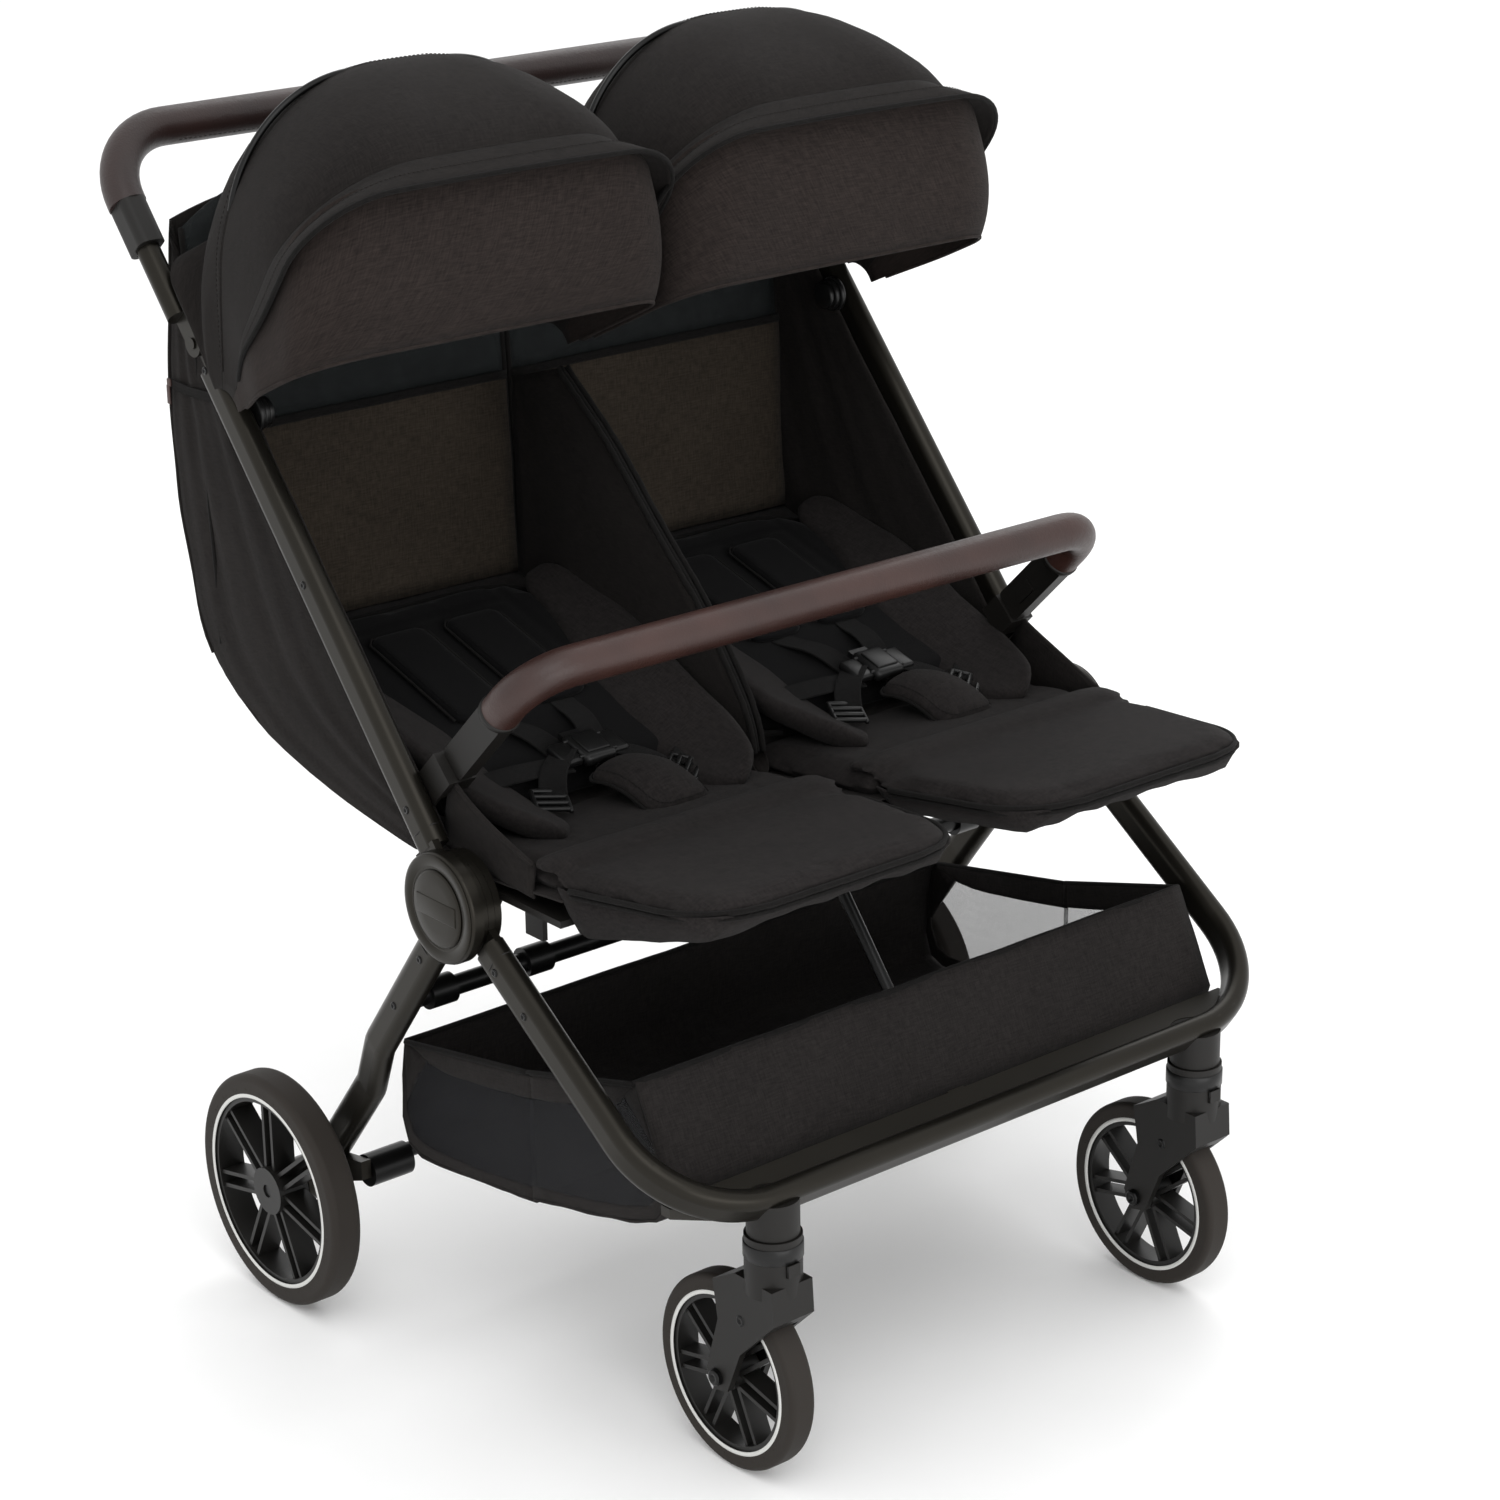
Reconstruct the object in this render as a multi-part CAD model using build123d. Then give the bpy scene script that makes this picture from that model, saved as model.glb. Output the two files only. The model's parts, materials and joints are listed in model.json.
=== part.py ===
from build123d import *
import os
from math import sin, cos, radians

# Side-by-side twin stroller with a compact fold, in millimetres.
# X runs across the stroller, -Y is the front, +Z is up and the wheels stand on Z = 0.

# ---- wheels ----
rear_tyre_radius = 108.0
rear_tyre_width = 30.0
rear_rim_radius = 90.0
rear_wheel_x = 370.0            # centre plane of a rear wheel, each side of the middle
rear_axle_y = 167.0
rear_axle_radius = 6.0
front_tyre_radius = 85.5
front_tyre_width = 26.0
front_rim_radius = 71.0
front_axle_radius = 4.0
spoke_pairs = 7
spoke_gap = 9.0                 # between the two ribs of one spoke
spoke_rib = 3.6

# ---- casters ----
caster_x = 243.5
caster_y = -369.0
caster_trail = 48.0
swivel_radius = 24.0
swivel_top = 231.0
stem_radius = 7.0
fork_plate = 6.5
fork_gap = 2.0                  # side clearance between tyre and fork

# ---- hub, the pivot that every folding frame shares ----
hub_y, hub_z = -90.0, 456.0
hub_pin_radius = 8.0
lug_radius = 44.0
lug_thickness = 6.5
lug_gap = 0.3
lug_inner_x = 330.5
cover_radius = 48.0
cover_thickness = 12.0
collar_start = 50.0             # distance from the pivot at which the tubes begin

# ---- tubes ----
tube_x = 341.0
handle_x = 352.0                # the folding handle stands outside the seat tubes
tube_width = 20.0               # across the stroller
tube_depth = 32.0               # in the side view
running_gap = 0.05              # radial clearance of every turning fit
soft_gap = 0.4

# ---- angles in the side view, from +Y towards +Z ----
seat_angle = 49.6
front_angle = 214.5
front_bar_reach = 343.0         # hub to the front cross bar
front_corner_radius = 95.0
fold_reach = 535.0              # hub to the handle's folding joint
handle_reach = 743.0            # hub to the middle of the grip bar
handle_corner_radius = 66.0
grip_radius = 17.0
handle_core_radius = 10.5
joint_clear = 26.0
sleeve_length = 44.0

# ---- rear frame ----
rear_leg_angle = -53.2
rear_bend = (38.0, 285.0)
rear_low = (70.0, 232.0)
rear_low_x = 331.0
cross_tube_radius = 9.0
cross_tube = (-1.0, 337.0)
clamp_radius = 13.5
brake_tube = (95.0, 142.0)
brake_tube_radius = 7.0
rear_boss_radius = 21.0

# ---- bumper bar ----
bumper_seat = (-48.0, 551.6)
bumper_bar = (-160.0, 663.0)
bumper_radius = 17.0
bumper_x = 314.0
bumper_corner_radius = 42.0
adapter_length = 84.0
receiver_half = 13.0

# ---- seats ----
seat_inner = 8.0
seat_outer = 318.0
pan_rear, pan_front = -62.0, -203.0
pan_board = (463.0, 469.0)
pan_rear_top, pan_front_top = 492.0, 508.0
back_pivot = (-47.0, 499.6)
back_angle = 16.3
back_thickness = 22.0
back_rod_radius = 8.0             # rod in the backrest's lower hem, carried by the side walls
back_length = 316.0
back_inner = 12.0
wall_x = 324.5
wall_thickness = 3.0
divider_thickness = 8.0
rear_panel_low = (279.0, 582.0)
rear_panel_high = (296.0, 946.0)
rear_panel_thickness = 4.0
foot_hinge = (-210.0, 500.0)
foot_length = 168.0
foot_rise = 6.0
foot_thickness = 22.0
foot_rod_radius = pan_front - foot_hinge[0] - 0.3

# ---- canopies ----
canopy_pivot = (206.0, 808.0)
canopy_inner, canopy_outer = 7.0, 355.5
canopy_skin = 4.0
canopy_root = 26.0              # clear radius round the pivot
bow_root = 58.0                 # where a bow's legs start, clear of the tubes' ends
rear_bow_angle, mid_bow_angle, brim_angle, visor_angle = 62.0, 94.0, 129.0, 155.0
bow_radius = 3.0

# ---- basket ----
basket_half = 313.0
basket_skin = 3.0
basket_split = -138.0
tray_rear = -323.0
tray_top, tray_thickness = 263.0, 9.0
tongue_half = 9.0
strut_radius = 5.5
strut_low, strut_high = (-283.0, 268.0), (-134.0, 453.0)


def polar(distance, angle, centre=(hub_y, hub_z)):
    """A point of the side view, from its distance and angle about a centre."""
    return (centre[0] + distance * cos(radians(angle)), centre[1] + distance * sin(radians(angle)))


def mirrored(shape):
    return mirror(shape, about=Plane.YZ)


def pair(shape):
    return Compound(children=[shape, mirrored(shape)])


def save(shape, node):
    export_step(shape, f"parts/{node}.step")


def save_sides(shape, name):
    """The shape is modelled on the -X side, which is the left one here."""
    save(shape, name + "_left")
    save(mirrored(shape), name + "_right")


def side_plate(points, x_low, x_high):
    """A plate cut to an outline in the side view, between two X planes."""
    outline = Polyline(*[(x_low, y, z) for y, z in points], close=True)
    return extrude(make_face(outline), amount=x_high - x_low, dir=(1, 0, 0))


def rod_x(radius, x_low, x_high, y, z):
    return Pos((x_low + x_high) / 2, y, z) * Rot(0, 90, 0) * Cylinder(radius, x_high - x_low)


def ring_x(outer, inner, x_low, x_high, y, z):
    return rod_x(outer, x_low, x_high, y, z) - rod_x(inner, x_low - 1, x_high + 1, y, z)


def frame_plane(distance, angle, x=0.0):
    """A plane square to a radius of the side view: its own X is the stroller's X."""
    y, z = polar(distance, angle)
    return Plane(origin=(x, y, z), x_dir=(1, 0, 0), z_dir=(0, cos(radians(angle)), sin(radians(angle))))


def box_on(plane, x_size, depth, length):
    """A block that starts on the plane and runs along its normal."""
    return plane * Pos(0, 0, length / 2) * Box(x_size, depth, length)


def oval(plane, width, depth):
    return plane * RectangleRounded(width, depth, min(width, depth) * 0.49)


def bent_tube(points, radii, section):
    path = FilletPolyline(*points, radius=radii)
    return sweep(section, path=path)


def lug(angle, layer):
    """One tube's flat lug: a disc on the hub pin and a tongue out to the tube's collar."""
    x_low = lug_inner_x + layer * (lug_thickness + lug_gap)
    x_high = x_low + lug_thickness
    disc = rod_x(lug_radius, x_low, x_high, hub_y, hub_z)
    tongue_plane = frame_plane(0, angle, (x_low + x_high) / 2)
    tongue = box_on(tongue_plane, lug_thickness, tube_depth, collar_start + 3)
    bore = rod_x(hub_pin_radius + running_gap, x_low - 1, x_high + 1, hub_y, hub_z)
    return mirrored(disc + tongue - bore)


cover_inner_x = lug_inner_x + 3 * (lug_thickness + lug_gap)
cover_outer_x = cover_inner_x + cover_thickness


# ---------------------------------------------------------------- chassis
def front_frame():
    """The bent front tube: both front legs and the front bar in one sloping plane."""
    start = polar(collar_start, front_angle)
    corner = polar(front_bar_reach, front_angle)
    points = [(-tube_x, *start), (-tube_x, *corner), (tube_x, *corner), (tube_x, *start)]
    section = oval(frame_plane(collar_start, front_angle, -tube_x), tube_width, tube_depth)
    return bent_tube(points, front_corner_radius, section)


front_bar_y, front_bar_z = polar(front_bar_reach, front_angle)


def tray(front_tube):
    """The footboard behind the front bar."""
    y_low = front_bar_y + 6
    half = tube_x - tube_width
    board = Pos(0, (y_low + tray_rear) / 2, tray_top - tray_thickness / 2) * Box(
        2 * half, tray_rear - y_low, tray_thickness)
    corner_cut = 46.0
    for side in (-1, 1):
        board -= Pos(side * half, y_low, tray_top) * Rot(0, 0, 45) * Box(corner_cut, corner_cut, 40)
        board -= Pos(side * caster_x, caster_y, tray_top) * Cylinder(swivel_radius - 1.9, 60)
    tongue_end = strut_low[0] + strut_radius + 4
    tongue = Pos(0, (tray_rear + tongue_end) / 2, tray_top - tray_thickness / 2) * Box(
        2 * tongue_half, tongue_end - tray_rear, tray_thickness)
    return board + tongue - front_tube


def caster_socket(front_tube):
    height = front_bar_z - swivel_top
    bottom = swivel_top + 0.6
    block = Pos(-caster_x, caster_y, bottom + height / 2) * Cylinder(swivel_radius - 2, height)
    bore_height = front_bar_z - tube_depth / 2 + 1 - bottom
    block -= Pos(-caster_x, caster_y, bottom + bore_height / 2 - 1) * Cylinder(
        stem_radius + running_gap, bore_height + 2)
    return (block - front_tube).solids().sort_by(SortBy.VOLUME)[-1]


def hub_pin():
    """The pin of the hub, with its head inside the frame."""
    pin = rod_x(hub_pin_radius, -cover_inner_x, -lug_inner_x + 0.4, hub_y, hub_z)
    head = rod_x(15, -lug_inner_x + 0.4, -lug_inner_x + 3, hub_y, hub_z)
    inner = rod_x(hub_pin_radius, -lug_inner_x + 3, -seat_outer - 0.6, hub_y, hub_z)
    return pin + head + inner


def centre_strut():
    """The thin strut from the footboard's tongue up to the slot in the seat board."""
    low = Vector(0, *strut_low)
    high = Vector(0, *strut_high)
    plane = Plane(origin=low, x_dir=(1, 0, 0), z_dir=(high - low).normalized())
    rod = extrude(plane * Circle(strut_radius), amount=(high - low).length)
    eye = rod_x(strut_radius + 2, -strut_radius, strut_radius, *strut_low)
    return rod + eye - Pos(0, strut_low[0], tray_top - 10) * Box(60, 60, 20)


# ---------------------------------------------------------------- rear frame
def rear_leg():
    start = polar(collar_start, rear_leg_angle)
    path = FilletPolyline((-tube_x, *start), (-tube_x, *rear_bend), (-rear_low_x, *rear_low),
                          (-rear_low_x, rear_axle_y, rear_tyre_radius), radius=[40, 40])
    section = oval(frame_plane(collar_start, rear_leg_angle, -tube_x), tube_width, tube_depth)
    leg = sweep(section, path=path)
    boss = rod_x(rear_boss_radius, -(rear_wheel_x - rear_tyre_width / 2 - 1.5), -rear_low_x + 10,
                 rear_axle_y, rear_tyre_radius)
    ear = side_plate([(brake_tube[0] - 9, brake_tube[1] - 9), (brake_tube[0] - 9, brake_tube[1] + 9),
                      (rear_axle_y - 20, rear_tyre_radius + 32), (rear_axle_y - 8, rear_tyre_radius - 4)],
                     -rear_low_x - 5, -rear_low_x + 5)
    leg = leg + boss + ear
    return leg - rod_x(rear_axle_radius, -rear_wheel_x, -rear_low_x + 4, rear_axle_y, rear_tyre_radius)


def rear_cross_tube(legs):
    tube = rod_x(cross_tube_radius, -tube_x, tube_x, *cross_tube)
    for x_low in (-318, -216):
        clamp = rod_x(clamp_radius, x_low, x_low + 26, *cross_tube)
        tube += clamp + mirrored(clamp)
    return tube - legs


def brake_bar(legs):
    """The low cross tube with the two brake housings, cut free for the pedal's sleeve."""
    tube = rod_x(brake_tube_radius, -rear_low_x, rear_low_x, *brake_tube)
    housing = rod_x(15, -rear_low_x + 6, -rear_low_x + 48, brake_tube[0], brake_tube[1] - 6)
    return tube + housing + mirrored(housing) - legs


def brake_pedal():
    sleeve = ring_x(13, brake_tube_radius + 0.08, -34, 34, *brake_tube)
    plate = Pos(0, brake_tube[0] + 42, brake_tube[1] + 4) * Box(68, 64, 7)
    plate = fillet(plate.edges().filter_by(Axis.Z), 12)
    return sleeve + plate - rod_x(brake_tube_radius + 0.08, -40, 40, *brake_tube)


def rear_axle():
    return rod_x(rear_axle_radius, -(rear_wheel_x + rear_tyre_width / 2 - 1.5), -rear_low_x + 4,
                 rear_axle_y, rear_tyre_radius)


# ---------------------------------------------------------------- wheels
def tyre(radius, width, rim_radius):
    """A tyre about the X axis: a flat tread with rounded shoulders."""
    with BuildSketch(Plane.XZ) as profile:
        with Locations((0, (radius + rim_radius) / 2)):
            Rectangle(width, radius - rim_radius)
        top = profile.vertices().group_by(Axis.Y)[-1]
        fillet(top, min(width, radius - rim_radius) * 0.36)
    return revolve(profile.sketch, axis=Axis.X)


def rim(radius, width, hub_radius, bore_radius):
    """A spoked rim: seven double ribs between the hub and the outer ring."""
    ring = ring_x(radius, radius - 7, -width / 2 + 2, width / 2 - 2, 0, 0)
    hub = rod_x(hub_radius, -width / 2, width / 2, 0, 0)
    spokes = []
    for index in range(spoke_pairs):
        for side in (-1, 1):
            offset = side * (spoke_gap + spoke_rib) / 2
            rib = Pos(0, offset, (radius + hub_radius) / 2 - 3) * Box(
                width - 8, spoke_rib, radius - hub_radius + 2)
            spokes.append(Rot(index * 360 / spoke_pairs, 0, 0) * rib)
    return ring + hub + spokes - rod_x(bore_radius, -width, width, 0, 0)


# ---------------------------------------------------------------- caster
def caster_fork():
    """Fork, swivel housing and stem, with the pocket of the swivel lock."""
    axle_y = caster_y + caster_trail
    half = front_tyre_width / 2 + fork_gap + fork_plate
    crown = front_tyre_radius * 2 + 6
    outline = [(caster_y - 23, crown + 14), (caster_y - 25, crown - 16), (axle_y - 30, 118),
               (axle_y - 13, front_tyre_radius - 9), (axle_y + 4, front_tyre_radius - 13),
               (axle_y + 13, front_tyre_radius + 4), (axle_y - 2, 140), (axle_y + 4, crown - 2),
               (caster_y + 24, crown + 14)]
    arms = side_plate(outline, -half, half)
    cavity = rod_x(front_tyre_radius + 3, -half + fork_plate, half - fork_plate, axle_y, front_tyre_radius)
    cavity += Pos(0, axle_y, 30) * Box(2 * (half - fork_plate), 80, 100)
    housing = Pos(0, caster_y, (crown + 2 + swivel_top) / 2) * Cylinder(
        swivel_radius, swivel_top - crown - 2)
    stem = Pos(0, caster_y, swivel_top + 5) * Cylinder(stem_radius, 12)
    pocket = Pos(0, caster_y - swivel_radius + 2, 208) * Box(13, 9, 17)
    fork = arms - cavity + housing + stem - pocket
    return fork - rod_x(front_axle_radius, -half - 1, half + 1, axle_y, front_tyre_radius)


def caster_axle():
    """The wheel's bolt, with a low round head on each side."""
    half = front_tyre_width / 2 + fork_gap + fork_plate
    axle_y = caster_y + caster_trail
    bolt = rod_x(front_axle_radius, -half, half, axle_y, front_tyre_radius)
    for side in (-1, 1):
        low, high = sorted((side * half, side * (half + 2.5)))
        bolt += rod_x(7.5, low, high, axle_y, front_tyre_radius)
    return bolt


def swivel_lock():
    return Pos(0, caster_y - swivel_radius + 1.8, 205.5) * Box(12.2, 8, 11)


# ---------------------------------------------------------------- seat frame
def seat_tube():
    plane = frame_plane(collar_start, seat_angle, -tube_x)
    length = fold_reach - joint_clear - collar_start
    tube = extrude(oval(plane, tube_width, tube_depth), amount=length)
    lug_low, lug_high = -tube_x + 0.2, -tube_x + tube_width / 2
    lug_x = (lug_low + lug_high) / 2
    end_y, end_z = polar(fold_reach, seat_angle)
    plate = rod_x(13, lug_low, lug_high, end_y, end_z)
    arm = box_on(frame_plane(fold_reach - joint_clear - 3, seat_angle, lug_x), lug_high - lug_low, 26,
                 joint_clear + 3)
    pin = rod_x(5, -tube_x - tube_width / 2 - 1.5, -tube_x + tube_width / 2 - 1, end_y, end_z)
    return tube + plate + arm + pin


def handle_tube(core):
    """The folding handle's tube, with the lug that turns on the seat tube's pin."""
    lug_low, lug_high = -tube_x - tube_width / 2, -tube_x - 0.2
    end_y, end_z = polar(fold_reach, seat_angle)
    plate = rod_x(12, lug_low, lug_high, end_y, end_z)
    arm = box_on(frame_plane(fold_reach, seat_angle, (lug_low + lug_high) / 2), lug_high - lug_low, 18,
                 joint_clear + 14)
    ends = plate + arm - rod_x(5 + running_gap, lug_low - 1, lug_high + 1, end_y, end_z)
    return core + ends + mirrored(ends)


def handle_loop(radius, start_distance):
    start = polar(start_distance, seat_angle)
    corner = polar(handle_reach, seat_angle)
    points = [(-handle_x, *start), (-handle_x, *corner), (handle_x, *corner), (handle_x, *start)]
    section = frame_plane(start_distance, seat_angle, -handle_x) * Circle(radius)
    return bent_tube(points, handle_corner_radius, section)


sleeve_start = handle_reach - handle_corner_radius - sleeve_length - 4


def handle_sleeve(core):
    plane = frame_plane(sleeve_start, seat_angle, -handle_x)
    body = extrude(plane * RectangleRounded(26, 32, 9), amount=sleeve_length)
    return body - core


def fold_button_pocket():
    y, z = polar(handle_reach, seat_angle)
    return Pos(0, y, z + grip_radius - 2) * Box(30, 15, 8)


def fold_button():
    y, z = polar(handle_reach, seat_angle)
    return Pos(0, y, z + grip_radius - 0.8) * Box(29.4, 14.4, 5)


def hub_cover():
    disc = rod_x(cover_radius, -cover_outer_x, -cover_inner_x - 0.1, hub_y, hub_z)
    disc = fillet(disc.edges().filter_by(GeomType.CIRCLE).sort_by(Axis.X)[0], 4)
    recess = rod_x(cover_radius - 13, -cover_outer_x - 1, -cover_outer_x + 2.5, hub_y, hub_z)
    dome = rod_x(cover_radius - 14.5, -cover_outer_x - 0.5, -cover_outer_x + 3, hub_y, hub_z)
    return disc - recess + dome


def side_wall():
    """The outer side of a seat, from the seat tube down to the seat's underside."""
    low = polar(62, seat_angle)
    top = polar(fold_reach - 60, seat_angle)
    outline = [low, top, (rear_panel_low[0] - 0.3, top[1] - 6),
               (rear_panel_low[0] - 0.3, rear_panel_low[1]),
               (back_pivot[0] + 22, back_pivot[1] - 12)]
    return side_plate(outline, -wall_x - wall_thickness / 2, -wall_x + wall_thickness / 2)


def seat_divider():
    low = polar(66, seat_angle - 4)
    top = polar(fold_reach - 96, seat_angle)
    outline = [low, top, (top[0] + 18, top[1] - 6), (rear_panel_low[0] - 0.3, top[1] - 60),
               (rear_panel_low[0] - 0.3, rear_panel_low[1]), (back_pivot[0] + 24, back_pivot[1] - 8)]
    return side_plate(outline, -divider_thickness / 2, divider_thickness / 2)


def rear_panel():
    """The upright back of one seat, in two heights: solid cloth below, mesh above."""
    outline = [rear_panel_low, rear_panel_high,
               (rear_panel_high[0] + rear_panel_thickness, rear_panel_high[1]),
               (rear_panel_low[0] + rear_panel_thickness, rear_panel_low[1])]
    return side_plate(outline, -wall_x, -back_inner)


bumper_dir = Vector(0, bumper_bar[0] - bumper_seat[0], bumper_bar[1] - bumper_seat[1])
bumper_length = bumper_dir.length
bumper_dir = bumper_dir.normalized()


def bumper_plane(distance, x=0.0):
    origin = Vector(x, *bumper_seat) + bumper_dir * distance
    return Plane(origin=origin, x_dir=(1, 0, 0), z_dir=bumper_dir)


def bumper_receiver():
    block = box_on(bumper_plane(-receiver_half, -bumper_x - 3), 27, 30, 2 * receiver_half)
    foot = box_on(bumper_plane(-receiver_half - 16, -wall_x - 4.2), 4.2, 30, 2 * receiver_half + 16)
    slot = box_on(bumper_plane(-4, -bumper_x), 12.4, 20.4, 40)
    return block + foot - slot


def bumper_adapter():
    plug = box_on(bumper_plane(-3.5, -bumper_x), 12, 20, receiver_half + 6)
    body = box_on(bumper_plane(receiver_half + 0.6, -bumper_x), 15, 30, adapter_length)
    body = fillet(body.edges().filter_by(Axis.X), 5)
    pocket = box_on(bumper_plane(receiver_half + 20, -bumper_x + 7.5), 9, 14, 24)
    return plug + body - pocket


def bumper_button():
    return box_on(bumper_plane(receiver_half + 20.4, -bumper_x + 7.2), 3.2, 13.2, 23.2)


def bumper_loop():
    start = receiver_half + 0.6 + adapter_length
    near = Vector(-bumper_x, *bumper_seat) + bumper_dir * start
    far = Vector(-bumper_x, *bumper_bar)
    points = [near, far, (bumper_x, far.Y, far.Z), (bumper_x, near.Y, near.Z)]
    return bent_tube(points, bumper_corner_radius, bumper_plane(start, -bumper_x) * Circle(bumper_radius))


# ---------------------------------------------------------------- seats
def seat_board():
    """The board under both seats, hinged on the hub pins by its two side rails."""
    low, high = pan_board
    board = Pos(0, (pan_rear + pan_front) / 2, (low + high) / 2) * Box(
        2 * seat_outer, pan_rear - pan_front, high - low)
    slot_end = strut_high[0] + strut_radius + 5
    board -= Pos(0, (pan_front + slot_end) / 2, high) * Box(
        2 * strut_radius + 7, slot_end - pan_front + 0.01, 40)
    rail_low, rail_high = -seat_outer - 4.5, -seat_outer
    rail = side_plate([(hub_y - 18, hub_z - 14), (hub_y + 18, hub_z - 14), (hub_y + 18, high),
                       (pan_front, high), (pan_front, low), (hub_y - 30, low)], rail_low, rail_high)
    rail -= rod_x(hub_pin_radius + running_gap, rail_low - 1, rail_high + 1, hub_y, hub_z)
    brackets = [Pos(x, -98, (low + 408) / 2 + 0.5) * Box(5, 24, low - 407) for x in (-270, -195, 195, 270)]
    return board + rail + mirrored(rail) + brackets


def seat_pad():
    outline = [(pan_rear, pan_board[1] + 0.05), (pan_rear, pan_rear_top), (pan_front, pan_front_top),
               (pan_front, pan_board[1] + 0.05)]
    return side_plate(outline, -seat_outer, -seat_inner)


def along_back(distance, height):
    a = radians(back_angle)
    return (back_pivot[0] + distance * cos(a) - height * sin(a),
            back_pivot[1] + distance * sin(a) + height * cos(a))


def backrest():
    half = back_thickness / 2
    slab = side_plate([along_back(0, -half), along_back(0, half), along_back(back_length, half),
                       along_back(back_length, -half)], -seat_outer, -back_inner)
    hem_rod = rod_x(back_rod_radius, -wall_x + wall_thickness / 2 + 0.3, -divider_thickness / 2 - 0.3,
                    *back_pivot)
    return slab + rod_x(half, -seat_outer, -back_inner, *back_pivot) + hem_rod


seat_middle = (seat_outer + back_inner) / 2


def back_block(x, width, start, end, low, high):
    """A block that lies on the backrest, between two heights over its middle plane."""
    points = [along_back(start, low), along_back(start, high), along_back(end, high), along_back(end, low)]
    return side_plate(points, x - width / 2, x + width / 2)


def harness():
    """Two shoulder pads and the buckle, as they lie on the backrest."""
    face = back_thickness / 2 + 0.05
    items = [back_block(-seat_middle + offset, 46, 120, 250, face, face + 8) for offset in (-36, 36)]
    body = back_block(-seat_middle, 46, 18, 62, face, face + 17)
    items.append(body - back_block(-seat_middle, 20.6, 28, 48.6, face + 9, face + 20))
    return Compound(children=items)


def buckle_button():
    face = back_thickness / 2 + 0.05
    return back_block(-seat_middle, 20, 28.3, 48.3, face + 12.5, face + 18)


def crotch_pad():
    low_y, high_y = -138.0, -94.0
    slope = (pan_front_top - pan_rear_top) / (pan_front - pan_rear)
    def top(y):
        return pan_rear_top + slope * (y - pan_rear)
    outline = [(low_y, top(low_y) + 0.05), (low_y, top(low_y) + 9), (high_y, top(high_y) + 9),
               (high_y, top(high_y) + 0.05)]
    return side_plate(outline, -seat_middle - 24, -seat_middle + 24)


def footrest():
    """A padded board with rounded front corners, hinged at the seat's front edge."""
    length = foot_length
    plane = Plane(origin=(-(seat_outer + 10) / 2, *foot_hinge), x_dir=(1, 0, 0),
                  z_dir=(0, sin(radians(-foot_rise)) * -1, cos(radians(foot_rise))))
    width = seat_outer - 10
    board = Pos(0, -length / 2, 0) * Box(width, length, foot_thickness)
    board = fillet(board.edges().filter_by(Axis.Z).group_by(Axis.Y)[0], 46)
    return plane * board + rod_x(foot_rod_radius, -seat_outer, -10, *foot_hinge)


# ---------------------------------------------------------------- canopies
canopy_middle = -(canopy_inner + canopy_outer) / 2
canopy_half = (canopy_outer - canopy_inner) / 2


def canopy_rise(angle):
    """How far the canopy's ridge stands from its pivot at a bow angle."""
    knots = [(62, 206), (78, 254), (94, 290), (111, 296), (129, 280), (155, 194)]
    for (a0, r0), (a1, r1) in zip(knots, knots[1:]):
        if angle <= a1:
            return r0 + (r1 - r0) * (angle - a0) / (a1 - a0)
    return knots[-1][1]


def canopy_corner(angle):
    """The arch is round over the head and squarer at the visor."""
    return 130 - 82 * max(0.0, min(1.0, (angle - mid_bow_angle) / (visor_angle - mid_bow_angle)))


def canopy_arch(angle, inset):
    """The closed arch of the canopy in the plane of one bow, moved in by the inset."""
    a = radians(angle)
    half = canopy_half - inset
    rise = canopy_rise(angle) - inset
    base = canopy_root
    plane = Plane(origin=(canopy_middle, *canopy_pivot), x_dir=(1, 0, 0), z_dir=(0, -sin(a), cos(a)))
    corner = min(canopy_corner(angle) - inset, half - 12, rise - base - 12)
    outline = FilletPolyline((-half, base), (-half, rise), (half, rise), (half, base), radius=corner)
    face = make_face(outline + Line((half, base), (-half, base)))
    return plane * face


def canopy_gore(angles):
    """The skin between the first and last bow angle."""
    outer = loft([canopy_arch(a, 0) for a in angles], ruled=True)
    inner = loft([canopy_arch(a, canopy_skin) for a in angles], ruled=True)
    return outer - inner


def canopy_bow(angle):
    a = radians(angle)
    inset = canopy_skin + bow_radius + 0.6
    half = canopy_half - inset
    rise = canopy_rise(angle) - inset - 0.5
    plane = Plane(origin=(canopy_middle, *canopy_pivot), x_dir=(1, 0, 0), z_dir=(0, -sin(a), cos(a)))
    path = FilletPolyline((-half, bow_root), (-half, rise), (half, rise), (half, bow_root),
                          radius=canopy_corner(angle) - inset)
    section = Plane(origin=(-half, bow_root, 0), z_dir=(0, 1, 0)) * Circle(bow_radius)
    return plane * sweep(section, path=path)


# ---------------------------------------------------------------- basket
def basket_profile(inset):
    return [(-277 + 1.2 * inset, 350 + (20 if inset else 0)), (-322 + 1.2 * inset, 266),
            (-306 + inset, 238 + inset), (-232, 213 + inset)]


def basket_front():
    outer = side_plate(basket_profile(0) + [(basket_split, 197), (basket_split, 316)],
                       -basket_half, basket_half)
    s = basket_skin
    inner = side_plate(basket_profile(s) + [(basket_split + 5, 197 + s), (basket_split + 5, 370)],
                       -basket_half + s, basket_half - s)
    notch = Pos(0, tray_rear + 6, tray_top - tray_thickness / 2) * Box(
        2 * tongue_half + 1, 30, tray_thickness + 1)
    return outer - inner - notch


def basket_rear():
    s = basket_skin
    start = basket_split + soft_gap
    outer = side_plate([(start, 197), (start, 316), (36, 290), (42, 240), (22, 203)],
                       -basket_half, basket_half)
    inner = side_plate([(start - 5, 197 + s), (start - 5, 370), (36 - s, 370), (42 - s, 240),
                        (22 - s, 203 + s)],
                       -basket_half + s, basket_half - s)
    return outer - inner


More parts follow.
